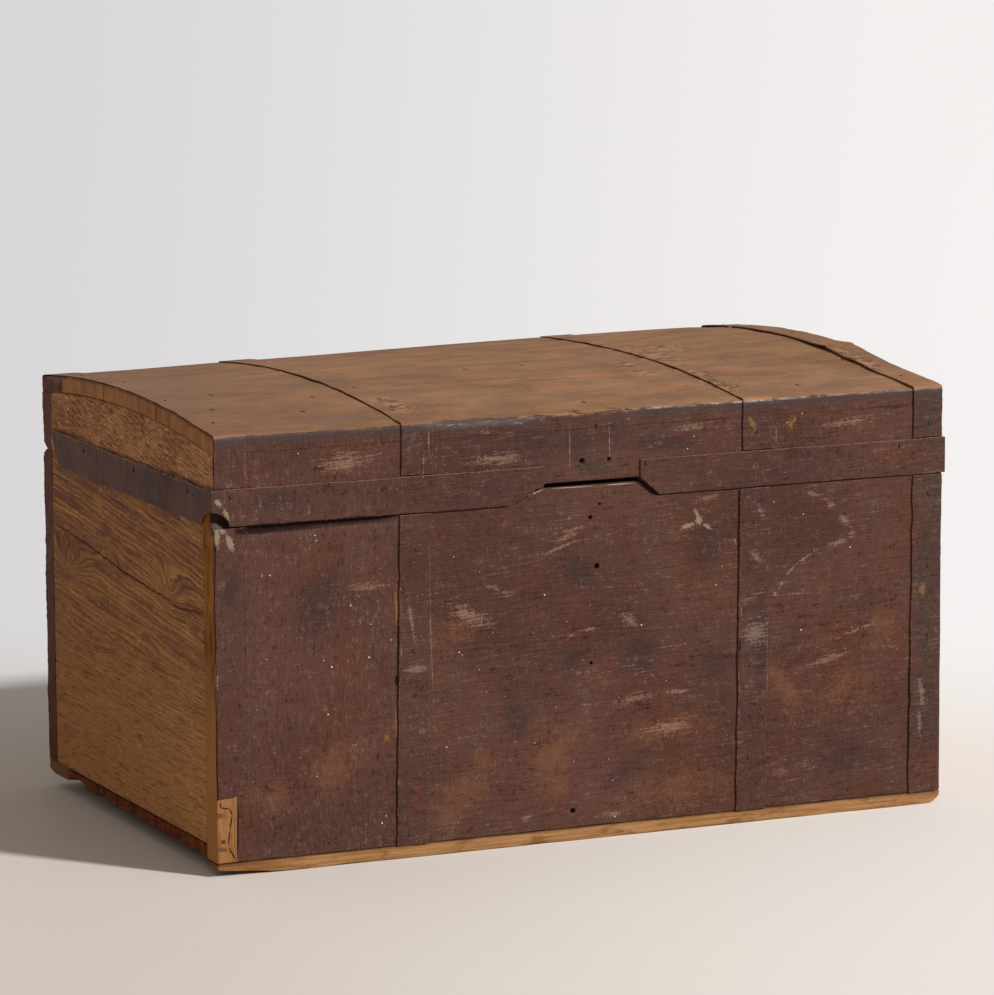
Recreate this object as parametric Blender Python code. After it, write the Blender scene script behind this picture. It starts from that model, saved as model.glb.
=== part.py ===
"""A pine chest bound with nailed iron straps, under a low coopered lid.

The carcass is a box of thick boards: the front and back boards overlap the end boards,
and the bottom planks lie between the front board and the back, on two runners.  The lid is
a frame of rails and gables with four staves laid over it in an arc.  Thin straps run up the
front, over the lid and down the back, and an iron lip round the lid's lower edge laps the
seam.  Two hinges lie in a bevelled groove at the back, and their leaves pass through the
seam to the inside.

Units are metres, +Z is up, the front faces -Y and the origin is under the middle.
"""

import math

import bmesh
import bpy
from mathutils import Vector

# Fits and counts shared by all pieces
GAP = 0.0003
CUT_OVERRUN = 0.004
ARC_STEPS = 6
ROUND_STEPS = 32
SMOOTH_ANGLE = math.radians(35)

# The box
CHEST_LENGTH = 0.900
CHEST_DEPTH = 0.545
END_BOARD_HEIGHT = 0.372
END_BOARD_THICKNESS = 0.024
END_BOARD_INSET = 0.0005
FRONT_BOARD_THICKNESS = 0.032
BACK_BOARD_THICKNESS = 0.028
BOARD_ARRIS = 0.0012

# The bottom and what it stands on
PLANK_THICKNESS = 0.0165
PLANK_JOINT = 0.0006
PLANK_EDGE_SHARES = (0.0, 0.33, 0.68, 1.0)
PLANK_END_ROUNDING = 0.005
RUNNER_HEIGHT = 0.015
FRONT_RUNNER_DEPTH = 0.031
BACK_RUNNER_DEPTH = 0.045
BACK_RUNNER_INSET = 0.045
RUNNER_WORN_LENGTH = 0.110
RUNNER_WORN_RISE = 0.006
RUNNER_NOSE_RADIUS = 0.012

# The lid's frame and staves
LID_SIDE_HEIGHT = 0.064
LID_RAIL_THICKNESS = 0.026
LID_BACK_RAIL_THICKNESS = 0.028
GABLE_THICKNESS = 0.022
DOME_RISE = 0.018
STAVE_THICKNESS = 0.019
STAVE_JOINT = 0.0008
STAVE_EDGE_SHARES = (0.0, 0.313, 0.620, 0.872, 1.0)
STAVE_ARC_STEPS = 8
LID_ARRIS_RADIUS = 0.004

# The lid is out of true: behind its first joint it stands high, most at the right
REAR_LIFT_LEFT = 0.0005
REAR_LIFT_RIGHT = 0.0090

# The bevelled groove along the back seam
GROOVE_HALF_HEIGHT = 0.0065
GROOVE_DEPTH = 0.012

# The iron lip round the lid
LIP_HEIGHT = 0.042
LIP_DROP = 0.016
LIP_THICKNESS = 0.0028
LIP_REAR_STOP = 0.031
LIP_REAR_SLANT = 0.030
ARCH_RISE = 0.0173
ARCH_FRONT_REACH = 0.0215
ARCH_SIDE_REACH = 0.033
ARCH_FULLNESS = 1.5

# The slot in the middle of the front, and the raised tongue below it
SLOT_HEIGHT = 0.0052
NOTCH_LEFT_FOOT = -0.097
NOTCH_LEFT_SHOULDER = -0.055
NOTCH_RIGHT_SHOULDER = 0.064
NOTCH_RIGHT_FOOT = 0.088
NOTCH_CLEARANCE = 0.0020
REBATE_DEPTH = 0.0012
REBATE_MARGIN = 0.0016

# The straps: the corner ones keep a margin to the ends, the others lie at shares of the
# length from the middle, and each one on the carcass leans a little on the way down
STRAP_THICKNESS = 0.0018
STRAP_WIDTH = 0.037
CORNER_STRAP_MARGIN = 0.0012
LID_STRAP_SHARES = (-0.2322, 0.2350)
BODY_STRAP_SHARES = (-0.2350, 0.2311)
STRAP_BENDS_STEPS = 24
STRAP_TO_LIP = 0.0012
STRAP_TO_GROOVE = 0.0045
STRAP_NAMES = ("left_corner", "left", "right", "right_corner")
BODY_STRAP_LEANS = (0.0, -0.0060, -0.0045, -0.0035)
BROKEN_STRAP = "left_corner"
BROKEN_STRAP_REMNANT_SHARE = 0.882
BROKEN_STRAP_RAGGED_SHARES = ((0.0, 0.010), (0.25, -0.006), (0.55, 0.006), (0.8, -0.008), (1.0, 0.030))

# The hinges
HINGE_FROM_END = 0.185
HINGE_WIDTH = 0.042
HINGE_PLATE_SETBACK = 0.0003
HINGE_LEAF_THICKNESS = 0.0020
HINGE_LEAF_GAP = 0.0004
HINGE_PIN_DEPTH = 0.0055
HINGE_PIN_RADIUS = 0.0024
HINGE_PIN_CLEARANCE = 0.00008
HINGE_PIN_OVERHANG = 0.0015
HINGE_BARREL_RADIUS = 0.0044
HINGE_BARREL_CLEARANCE = 0.0007
HINGE_KNUCKLE_GAP = 0.0004
HINGE_GAIN_CLEARANCE = 0.0006
LID_LEAF_LENGTH = 0.050
BODY_LEAF_LENGTH = 0.120
LEAF_POINT_LENGTH = 0.016

# Places that follow from the sizes above
LIP_PROUD = GAP + LIP_THICKNESS
STRAP_PROUD = GAP + STRAP_THICKNESS
LEFT_X = -CHEST_LENGTH / 2
RIGHT_X = CHEST_LENGTH / 2
FRONT_Y = (LIP_PROUD - STRAP_PROUD - CHEST_DEPTH) / 2
BACK_Y = FRONT_Y + CHEST_DEPTH
MIDDLE_Y = (FRONT_Y + BACK_Y) / 2
PLANK_LOW = RUNNER_HEIGHT + GAP
PLANK_TOP = PLANK_LOW + PLANK_THICKNESS
END_BOARD_LOW = PLANK_TOP + GAP
BODY_TOP = END_BOARD_LOW + END_BOARD_HEIGHT
LID_LOW = BODY_TOP + GAP
SEAM_Z = (BODY_TOP + LID_LOW) / 2
LIP_LOW = SEAM_Z - LIP_DROP
LIP_TOP = LIP_LOW + LIP_HEIGHT
NOTCH_SHOULDER_Z = LID_LOW + SLOT_HEIGHT

# The underside of the staves is an arc over the whole depth, and their top is concentric
DOME_RADIUS = CHEST_DEPTH ** 2 / (8 * DOME_RISE) + DOME_RISE / 2
DOME_CENTRE_Z = LID_LOW + LID_SIDE_HEIGHT + GAP + DOME_RISE - DOME_RADIUS
DOME_TOP_RADIUS = DOME_RADIUS + STAVE_THICKNESS
REAR_LIFT_START_Y = FRONT_Y + CHEST_DEPTH * STAVE_EDGE_SHARES[1]

# The hinge pin's axis, and the middle of each hinge along it
PIN_Y = BACK_Y - HINGE_PIN_DEPTH
PIN_Z = SEAM_Z
HINGE_MIDDLES = (("left", LEFT_X + HINGE_FROM_END), ("right", RIGHT_X - HINGE_FROM_END))

# Finishes: colour, roughness, metallic
OXBLOOD_PAINT = ((0.085, 0.038, 0.030, 1.0), 0.62, 0.0)
WORN_LID_PAINT = ((0.200, 0.095, 0.050, 1.0), 0.60, 0.0)
BARE_PINE = ((0.360, 0.185, 0.075, 1.0), 0.70, 0.0)
PALE_PINE = ((0.480, 0.300, 0.150, 1.0), 0.75, 0.0)
PAINTED_IRON = ((0.070, 0.036, 0.030, 1.0), 0.52, 0.2)
DARK_IRON = ((0.055, 0.042, 0.038, 1.0), 0.48, 0.5)


def clear_scene():
    """Remove every object that the file came with."""
    for old in list(bpy.data.objects):
        bpy.data.objects.remove(old, do_unlink=True)


def make_carrier(name, place):
    """An empty that carries one body's pieces."""
    carrier = bpy.data.objects.new(name, None)
    carrier.location = place
    bpy.context.scene.collection.objects.link(carrier)
    return carrier


def make_finish(name, finish):
    """A material with one colour, roughness and metallic value."""
    colour, roughness, metallic = finish
    material = bpy.data.materials.new(name)
    material.use_nodes = True
    shader = material.node_tree.nodes["Principled BSDF"]
    shader.inputs["Base Color"].default_value = colour
    shader.inputs["Roughness"].default_value = roughness
    shader.inputs["Metallic"].default_value = metallic
    return material


def make_object(name, bm, finish=None, carrier=None):
    """Put a mesh that was drawn in place into the scene, with its origin at its middle."""
    bmesh.ops.recalc_face_normals(bm, faces=bm.faces)
    lows = Vector([min(v.co[i] for v in bm.verts) for i in range(3)])
    highs = Vector([max(v.co[i] for v in bm.verts) for i in range(3)])
    origin = (lows + highs) / 2
    bmesh.ops.translate(bm, verts=bm.verts, vec=-origin)
    mesh = bpy.data.meshes.new(name)
    bm.to_mesh(mesh)
    bm.free()
    piece = bpy.data.objects.new(name, mesh)
    piece.location = origin
    bpy.context.scene.collection.objects.link(piece)
    if carrier is not None:
        piece.parent = carrier
        piece.location = origin - carrier.location
    if finish is not None:
        mesh.materials.append(make_finish(name + "_finish", finish))
    return piece


def shade_round(piece):
    """Smooth shading on the round faces, with the sharp arrises kept."""
    piece.data.shade_smooth()
    piece.data.set_sharp_from_angle(angle=SMOOTH_ANGLE)


def hide_cutter(cutter):
    """A cutter is drawn as wire and left out of the part."""
    cutter.hide_render = True
    cutter.display_type = "WIRE"
    return cutter


def combine(piece, tool, operation):
    """Cut a hidden tool out of a piece, or join it on."""
    modifier = piece.modifiers.new(operation.lower(), "BOOLEAN")
    modifier.object = hide_cutter(tool)
    modifier.operation = operation
    modifier.solver = "EXACT"


def soften_arrises(piece, width):
    """Ease the sharp edges of a board."""
    modifier = piece.modifiers.new("arris", "BEVEL")
    modifier.width = width
    modifier.segments = 2
    modifier.limit_method = "ANGLE"


def along(axis, a, b, c):
    """The point with coordinates a, b across an axis and c along it."""
    if axis == "x":
        return (c, a, b)
    if axis == "y":
        return (a, c, b)
    return (a, b, c)


def close_bar(bm, rings):
    """Join rings of corners into the skin of a bar, and close both of its ends."""
    for near, far in zip(rings, rings[1:]):
        for corner in range(len(near)):
            following = (corner + 1) % len(near)
            bm.faces.new((near[corner], near[following], far[following], far[corner]))
    bm.faces.new(rings[0])
    bm.faces.new(reversed(rings[-1]))
    return bm


def loft(near, far, axis, low, high):
    """A bar along an axis whose outline goes evenly from near, at low, to far, at high."""
    bm = bmesh.new()
    ends = ((near, low), (far, high))
    return close_bar(bm, [[bm.verts.new(along(axis, a, b, place)) for a, b in outline]
                          for outline, place in ends])


def prism(outline, axis, low, high):
    """Extrude a flat outline along an axis, from low to high."""
    return loft(outline, outline, axis, low, high)


def box(x_low, x_high, y_low, y_high, z_low, z_high):
    """A plain block between two corners."""
    outline = ((x_low, z_low), (x_high, z_low), (x_high, z_high), (x_low, z_high))
    return prism(outline, "y", y_low, y_high)


def rod(y, z, radius, x_low, x_high):
    """A round bar along X."""
    turns = [2 * math.pi * step / ROUND_STEPS for step in range(ROUND_STEPS)]
    outline = [(y + radius * math.cos(turn), z + radius * math.sin(turn)) for turn in turns]
    return prism(outline, "x", x_low, x_high)


def fillet(corners):
    """Points along straight runs whose corners, given as (a, b, radius), are arcs."""
    points = []
    for index, (a, b, radius) in enumerate(corners):
        here = Vector((a, b))
        if radius == 0:
            points.append((a, b))
            continue
        before = (Vector(corners[index - 1][:2]) - here).normalized()
        after = (Vector(corners[(index + 1) % len(corners)][:2]) - here).normalized()
        half = before.angle(after) / 2
        centre = here + (before + after).normalized() * radius / math.sin(half)
        start = here + before * radius / math.tan(half) - centre
        end = here + after * radius / math.tan(half) - centre
        for step in range(ARC_STEPS + 1):
            spoke = start.slerp(end, step / ARC_STEPS).normalized() * radius
            points.append(tuple(centre + spoke))
    return points


def set_off(path, distance):
    """A path in the YZ plane moved to its own right, with its corners mitred."""
    runs = [(Vector(after) - Vector(before)).normalized() for before, after in zip(path, path[1:])]
    sides = [Vector((run.y, -run.x)) for run in runs]
    moved = []
    for index, point in enumerate(path):
        first = sides[max(index - 1, 0)]
        second = sides[min(index, len(sides) - 1)]
        mitre = (first + second).normalized()
        moved.append(Vector(point) + mitre * distance / mitre.dot(first))
    return moved


def ribbon(near, far, thickness, x_low, x_high):
    """A flat bar bent along two paths, one under each of its long edges, on the paths' right."""
    bm = bmesh.new()
    outer = zip(set_off(near, thickness), set_off(far, thickness))
    rings = []
    for low, high, (low_outer, high_outer) in zip(near, far, outer):
        corners = ((x_low, low), (x_high, high), (x_high, high_outer), (x_low, low_outer))
        rings.append([bm.verts.new((x, pair[0], pair[1])) for x, pair in corners])
    return close_bar(bm, rings)


def rear_lift(x, y):
    """How far the lid stands above a true one: steep behind the first joint, level at the back."""
    front_share = min(1, (BACK_Y - y) / (BACK_Y - REAR_LIFT_START_Y))
    right_share = (x - LEFT_X) / CHEST_LENGTH
    lift = REAR_LIFT_LEFT + (REAR_LIFT_RIGHT - REAR_LIFT_LEFT) * right_share
    return lift * (1 - front_share ** 2)


def arc_height(x, y, radius):
    """How high an arc of the dome lies over a place seen from above."""
    return DOME_CENTRE_Z + math.sqrt(radius ** 2 - (y - MIDDLE_Y) ** 2) + rear_lift(x, y)


def spread(low, high, steps):
    """Evenly spaced values from low to high."""
    return [low + (high - low) * step / steps for step in range(steps + 1)]


def make_board(name, low, high, finish, carrier):
    """A plain rectangular board with eased arrises."""
    board = make_object(name, box(low[0], high[0], low[1], high[1], low[2], high[2]), finish, carrier)
    soften_arrises(board, BOARD_ARRIS)
    return board


def tongue_outline():
    """The raised trapezoid on the front board, clear of the notch in the lip."""
    slope_left = (NOTCH_LEFT_SHOULDER - NOTCH_LEFT_FOOT) / (NOTCH_SHOULDER_Z - LIP_LOW)
    slope_right = (NOTCH_RIGHT_FOOT - NOTCH_RIGHT_SHOULDER) / (NOTCH_SHOULDER_Z - LIP_LOW)
    drop = REBATE_MARGIN + CUT_OVERRUN
    rise = BODY_TOP + CUT_OVERRUN - LIP_LOW
    foot_left = NOTCH_LEFT_FOOT + NOTCH_CLEARANCE
    foot_right = NOTCH_RIGHT_FOOT - NOTCH_CLEARANCE
    left = (foot_left - slope_left * drop, foot_left + slope_left * rise)
    right = (foot_right + slope_right * drop, foot_right - slope_right * rise)
    return left, right, LIP_LOW - drop, LIP_LOW + rise


def make_front_board(carrier):
    """The front board: rebated behind the lip, with a raised tongue in the middle."""
    low = (LEFT_X, FRONT_Y, PLANK_LOW)
    high = (RIGHT_X, FRONT_Y + FRONT_BOARD_THICKNESS, BODY_TOP)
    board = make_board("front_board", low, high, OXBLOOD_PAINT, carrier)
    rebate_low = LIP_LOW - REBATE_MARGIN
    (left_low, left_high), (right_low, right_high), tongue_low, tongue_high = tongue_outline()
    share = (rebate_low - tongue_low) / (tongue_high - tongue_low)
    left_foot = left_low + (left_high - left_low) * share
    right_foot = right_low + (right_high - right_low) * share
    outside_left = LEFT_X - CUT_OVERRUN
    outside_right = RIGHT_X + CUT_OVERRUN
    rebates = {
        "rebate_left": ((outside_left, rebate_low), (left_foot, rebate_low),
                        (left_high, tongue_high), (outside_left, tongue_high)),
        "rebate_right": ((right_foot, rebate_low), (outside_right, rebate_low),
                         (outside_right, tongue_high), (right_high, tongue_high)),
    }
    for name, outline in rebates.items():
        cutter = prism(outline, "y", FRONT_Y - CUT_OVERRUN, FRONT_Y + REBATE_DEPTH)
        combine(board, make_object(name, cutter), "DIFFERENCE")


def make_back_board(carrier, gains):
    """The back board stands on the rear plank, and its outer top edge is bevelled."""
    inner = BACK_Y - BACK_BOARD_THICKNESS
    outline = (
        (inner, END_BOARD_LOW),
        (BACK_Y, END_BOARD_LOW),
        (BACK_Y, SEAM_Z - GROOVE_HALF_HEIGHT),
        (BACK_Y - GROOVE_DEPTH, BODY_TOP),
        (inner, BODY_TOP),
    )
    board = make_object("back_board", prism(outline, "x", LEFT_X, RIGHT_X), OXBLOOD_PAINT, carrier)
    soften_arrises(board, BOARD_ARRIS)
    for gain in gains:
        combine(board, gain, "DIFFERENCE")


def make_end_boards(carrier):
    """The two bare end boards, held between the front and the back board."""
    y_low = FRONT_Y + FRONT_BOARD_THICKNESS + GAP
    y_high = BACK_Y - BACK_BOARD_THICKNESS - GAP
    outer = RIGHT_X - END_BOARD_INSET
    inner = outer - END_BOARD_THICKNESS
    make_board("left_end_board", (-outer, y_low, END_BOARD_LOW), (-inner, y_high, BODY_TOP),
               BARE_PINE, carrier)
    make_board("right_end_board", (inner, y_low, END_BOARD_LOW), (outer, y_high, BODY_TOP),
               BARE_PINE, carrier)


def make_bottom_planks(carrier):
    """Three planks along the length, from the front board's inside to the back face."""
    start = FRONT_Y + FRONT_BOARD_THICKNESS + GAP
    width = BACK_Y - start
    end = RIGHT_X - END_BOARD_INSET
    outline = fillet((
        (-end, PLANK_LOW, PLANK_END_ROUNDING),
        (end, PLANK_LOW, PLANK_END_ROUNDING),
        (end, PLANK_TOP, 0),
        (-end, PLANK_TOP, 0),
    ))
    names = ("bottom_plank_front", "bottom_plank_middle", "bottom_plank_rear")
    for name, first, last in zip(names, PLANK_EDGE_SHARES, PLANK_EDGE_SHARES[1:]):
        low = start + width * first + (PLANK_JOINT / 2 if first > 0 else 0)
        high = start + width * last - (PLANK_JOINT / 2 if last < 1 else 0)
        make_object(name, prism(outline, "y", low, high), PALE_PINE, carrier)


def make_runner(name, x_low, x_high, y_low, y_high, carrier):
    """A strip under the bottom: its left end is worn to a long slope, its right end is rounded."""
    outline = fillet((
        (x_low + RUNNER_WORN_LENGTH, 0, 0),
        (x_high, 0, RUNNER_NOSE_RADIUS),
        (x_high, RUNNER_HEIGHT, 0),
        (x_low, RUNNER_HEIGHT, 0),
        (x_low, RUNNER_WORN_RISE, RUNNER_WORN_RISE / 2),
    ))
    runner = make_object(name, prism(outline, "y", y_low, y_high), PALE_PINE, carrier)
    shade_round(runner)


def make_runners(carrier):
    """One runner under the front board, and one set in from the ends under the rear plank."""
    make_runner("front_runner", LEFT_X, RIGHT_X, FRONT_Y, FRONT_Y + FRONT_RUNNER_DEPTH, carrier)
    make_runner("back_runner", LEFT_X + BACK_RUNNER_INSET, RIGHT_X - BACK_RUNNER_INSET,
                BACK_Y - BACK_RUNNER_DEPTH, BACK_Y, carrier)


def frame_outline(x, feet, places):
    """A lid rail or gable cut across at x: its feet, then its top just under the staves."""
    return list(feet) + [(y, arc_height(x, y, DOME_RADIUS) - GAP) for y in places]


def make_gables(carrier):
    """The lid's ends: flat below, arched above, and run out to the front face."""
    y_high = BACK_Y - LID_BACK_RAIL_THICKNESS - GAP
    feet = ((FRONT_Y, LID_LOW), (y_high, LID_LOW))
    places = spread(y_high, REAR_LIFT_START_Y, STAVE_ARC_STEPS)
    places += spread(REAR_LIFT_START_Y, FRONT_Y, STAVE_ARC_STEPS)[1:]
    for name, x_low in (("lid_left_gable", LEFT_X), ("lid_right_gable", RIGHT_X - GABLE_THICKNESS)):
        x_high = x_low + GABLE_THICKNESS
        near = frame_outline(x_low, feet, places)
        far = frame_outline(x_high, feet, places)
        gable = make_object(name, loft(near, far, "x", x_low, x_high), BARE_PINE, carrier)
        soften_arrises(gable, BOARD_ARRIS)


def make_front_rail(carrier):
    """The lid's front rail, between the gables, with the slot cut in its lower edge."""
    inner = FRONT_Y + LID_RAIL_THICKNESS
    end = RIGHT_X - GABLE_THICKNESS - GAP
    outline = frame_outline(0, ((FRONT_Y, LID_LOW), (inner, LID_LOW)), spread(inner, FRONT_Y, ARC_STEPS))
    rail = make_object("lid_front_rail", prism(outline, "x", -end, end), OXBLOOD_PAINT, carrier)
    slot = fillet((
        (NOTCH_LEFT_SHOULDER + NOTCH_CLEARANCE, LID_LOW - CUT_OVERRUN, 0),
        (NOTCH_RIGHT_SHOULDER - NOTCH_CLEARANCE, LID_LOW - CUT_OVERRUN, 0),
        (NOTCH_RIGHT_SHOULDER - NOTCH_CLEARANCE, NOTCH_SHOULDER_Z, SLOT_HEIGHT / 2),
        (NOTCH_LEFT_SHOULDER + NOTCH_CLEARANCE, NOTCH_SHOULDER_Z, SLOT_HEIGHT / 2),
    ))
    cutter = prism(slot, "y", FRONT_Y - CUT_OVERRUN, inner + CUT_OVERRUN)
    combine(rail, make_object("rail_slot", cutter), "DIFFERENCE")


def make_back_rail(carrier, gains):
    """The lid's back rail, full length, with its outer lower edge bevelled for the groove."""
    inner = BACK_Y - LID_BACK_RAIL_THICKNESS
    feet = ((inner, LID_LOW), (BACK_Y - GROOVE_DEPTH, LID_LOW), (BACK_Y, SEAM_Z + GROOVE_HALF_HEIGHT))
    places = spread(BACK_Y, inner, ARC_STEPS)
    near = frame_outline(LEFT_X, feet, places)
    far = frame_outline(RIGHT_X, feet, places)
    rail = make_object("lid_back_rail", loft(near, far, "x", LEFT_X, RIGHT_X), OXBLOOD_PAINT, carrier)
    for gain in gains:
        combine(rail, gain, "DIFFERENCE")


def stave_outline(x, places, front_round, back_round):
    """A stave cut across at x, with its front or back upper arris rounded if asked."""
    under = [(y, arc_height(x, y, DOME_RADIUS), 0) for y in places]
    over = [(y, arc_height(x, y, DOME_TOP_RADIUS), 0) for y in reversed(places)]
    if back_round:
        over[0] = over[0][:2] + (LID_ARRIS_RADIUS,)
    if front_round:
        over[-1] = over[-1][:2] + (LID_ARRIS_RADIUS,)
    return fillet(under + over)


def make_staves(carrier):
    """Four staves over the whole length; the outer arrises of the first and last are rounded."""
    last = len(STAVE_EDGE_SHARES) - 2
    for index, (near, far) in enumerate(zip(STAVE_EDGE_SHARES, STAVE_EDGE_SHARES[1:])):
        low = FRONT_Y + CHEST_DEPTH * near + (STAVE_JOINT / 2 if index > 0 else 0)
        high = FRONT_Y + CHEST_DEPTH * far - (STAVE_JOINT / 2 if index < last else 0)
        places = spread(low, high, STAVE_ARC_STEPS)
        near = stave_outline(LEFT_X, places, index == 0, index == last)
        far = stave_outline(RIGHT_X, places, index == 0, index == last)
        stave = make_object("lid_stave_%d" % (index + 1), loft(near, far, "x", LEFT_X, RIGHT_X),
                            WORN_LID_PAINT, carrier)
        shade_round(stave)


def strap_middles(shares):
    """The middles of the four straps along the length, from left to right."""
    corner = RIGHT_X - CORNER_STRAP_MARGIN - STRAP_WIDTH / 2
    return [-corner] + [CHEST_LENGTH * share for share in shares] + [corner]


def lid_strap_path(x):
    """The inner face of a lid strap at x: up the back, over the dome and down to the lip."""
    front = FRONT_Y - GAP
    back = BACK_Y + GAP
    bend = LID_ARRIS_RADIUS + GAP
    crown = spread(BACK_Y, FRONT_Y, STRAP_BENDS_STEPS)[1:-1]
    corners = [(back, SEAM_Z + GROOVE_HALF_HEIGHT + STRAP_TO_GROOVE, 0)]
    corners.append((back, arc_height(x, BACK_Y, DOME_TOP_RADIUS) + GAP, bend))
    corners += [(y, arc_height(x, y, DOME_TOP_RADIUS) + GAP, 0) for y in crown]
    corners.append((front, arc_height(x, FRONT_Y, DOME_TOP_RADIUS) + GAP, bend))
    corners.append((front, LIP_TOP + STRAP_TO_LIP, 0))
    return fillet(corners)


def make_lid_straps(carrier):
    """The four straps over the lid, from the groove at the back to the lip at the front."""
    for name, middle in zip(STRAP_NAMES, strap_middles(LID_STRAP_SHARES)):
        x_low = middle - STRAP_WIDTH / 2
        x_high = middle + STRAP_WIDTH / 2
        bar = ribbon(lid_strap_path(x_low), lid_strap_path(x_high), STRAP_THICKNESS, x_low, x_high)
        strap = make_object("lid_strap_" + name, bar, PAINTED_IRON, carrier)
        shade_round(strap)


def make_body_straps(carrier):
    """Flat straps on the carcass, front and back; the front left one is broken off short."""
    faces = (
        ("front_strap_", FRONT_Y - STRAP_PROUD, FRONT_Y - GAP, PLANK_LOW, LIP_LOW - STRAP_TO_LIP),
        ("back_strap_", BACK_Y + GAP, BACK_Y + STRAP_PROUD, END_BOARD_LOW,
         SEAM_Z - GROOVE_HALF_HEIGHT - STRAP_TO_GROOVE),
    )
    half = STRAP_WIDTH / 2
    for prefix, y_low, y_high, z_low, z_high in faces:
        for name, middle, lean in zip(STRAP_NAMES, strap_middles(BODY_STRAP_SHARES), BODY_STRAP_LEANS):
            foot = middle + lean
            outline = [(middle + half, z_high), (middle - half, z_high)]
            if prefix == "front_strap_" and name == BROKEN_STRAP:
                length = z_high - z_low
                stump = z_high - length * BROKEN_STRAP_REMNANT_SHARE
                outline += [(foot - half + STRAP_WIDTH * across, stump - length * down)
                            for across, down in BROKEN_STRAP_RAGGED_SHARES]
            else:
                outline += [(foot - half, z_low), (foot + half, z_low)]
            make_object(prefix + name, prism(outline, "y", y_low, y_high), PAINTED_IRON, carrier)


def arch_curve(reach, rise):
    """A quarter of a flattened ellipse, from the arch's foot at its reach to its top at zero."""
    points = []
    for step in range(ARC_STEPS + 1):
        turn = math.pi / 2 * step / ARC_STEPS
        across = reach * math.cos(turn) ** (2 / ARCH_FULLNESS)
        points.append((across, rise * math.sin(turn) ** (2 / ARCH_FULLNESS)))
    return points


def make_front_lip(carrier):
    """Two plates either side of the notch; the left one has half of the corner arch."""
    y_low = FRONT_Y - LIP_PROUD
    y_high = FRONT_Y - GAP
    left_end = LEFT_X - LIP_PROUD
    right_end = RIGHT_X + LIP_PROUD
    arch = [(left_end + across, LIP_LOW + rise) for across, rise in arch_curve(ARCH_FRONT_REACH, ARCH_RISE)]
    left = [
        (NOTCH_LEFT_FOOT, LIP_LOW),
        (NOTCH_LEFT_SHOULDER, NOTCH_SHOULDER_Z),
        (NOTCH_LEFT_SHOULDER, LIP_TOP),
        (left_end, LIP_TOP),
    ] + arch[::-1]
    right = [
        (NOTCH_RIGHT_FOOT, LIP_LOW),
        (right_end, LIP_LOW),
        (right_end, LIP_TOP),
        (NOTCH_RIGHT_SHOULDER, LIP_TOP),
        (NOTCH_RIGHT_SHOULDER, NOTCH_SHOULDER_Z),
    ]
    make_object("lip_front_left", prism(left, "y", y_low, y_high), PAINTED_IRON, carrier)
    make_object("lip_front_right", prism(right, "y", y_low, y_high), PAINTED_IRON, carrier)


def make_end_lips(carrier):
    """A plate on each gable, cut on a slant at the rear; the left one has the rest of the arch."""
    front = FRONT_Y
    top_rear = BACK_Y - LIP_REAR_STOP
    low_rear = top_rear - LIP_REAR_SLANT
    reach = ARCH_SIDE_REACH - LIP_PROUD
    arch = [(front + across, LIP_LOW + rise) for across, rise in arch_curve(reach, ARCH_RISE)]
    rear = [(low_rear, LIP_LOW), (top_rear, LIP_TOP), (front, LIP_TOP)]
    outer = RIGHT_X + LIP_PROUD
    inner = RIGHT_X + GAP
    make_object("lip_left_end", prism(rear + arch[::-1], "x", -outer, -inner), PAINTED_IRON, carrier)
    make_object("lip_right_end", prism(rear + [(front, LIP_LOW)], "x", inner, outer),
                PAINTED_IRON, carrier)


def make_gains(side, middle):
    """What is cut out of the wood at one hinge: a groove for the barrel and a bed for each leaf."""
    half = HINGE_WIDTH / 2 + HINGE_GAIN_CLEARANCE
    bed = HINGE_LEAF_THICKNESS + HINGE_LEAF_GAP / 2 + HINGE_GAIN_CLEARANCE
    deepest = max(BACK_BOARD_THICKNESS, LID_BACK_RAIL_THICKNESS) + CUT_OVERRUN
    bed_block = box(middle - half, middle + half, BACK_Y - deepest, PIN_Y, PIN_Z - bed, PIN_Z + bed)
    groove_half = half + HINGE_PIN_OVERHANG
    groove = rod(PIN_Y, PIN_Z, HINGE_BARREL_RADIUS + HINGE_BARREL_CLEARANCE,
                 middle - groove_half, middle + groove_half)
    return [make_object("leaf_bed_" + side, bed_block), make_object("barrel_groove_" + side, groove)]


def leaf_profile(direction, length, inner_face, plate_end):
    """A leaf seen from the end: a plate through the seam, and one along the inside of the wood."""
    near = PIN_Z + direction * HINGE_LEAF_GAP / 2
    far = near + direction * HINGE_LEAF_THICKNESS
    tip = near + direction * length
    outer = inner_face - GAP
    inner = outer - HINGE_LEAF_THICKNESS
    return [(plate_end, near), (plate_end, far), (outer, far), (outer, tip), (inner, tip), (inner, near)]


def leaf_corner(middle, side, direction, length, inner_face):
    """What is cut off one corner of a leaf's end, so that it comes to a point."""
    tip = PIN_Z + direction * (HINGE_LEAF_GAP / 2 + length)
    beyond = tip + direction * CUT_OVERRUN
    slope = HINGE_WIDTH / 2 / LEAF_POINT_LENGTH
    outside = middle + side * (HINGE_WIDTH / 2 + CUT_OVERRUN)
    outline = [
        (middle - side * CUT_OVERRUN * slope, beyond),
        (outside, beyond),
        (outside, tip - direction * (LEAF_POINT_LENGTH + CUT_OVERRUN / slope)),
    ]
    deep = HINGE_LEAF_THICKNESS + CUT_OVERRUN
    return prism(outline, "y", inner_face - deep, inner_face + CUT_OVERRUN)


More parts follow.
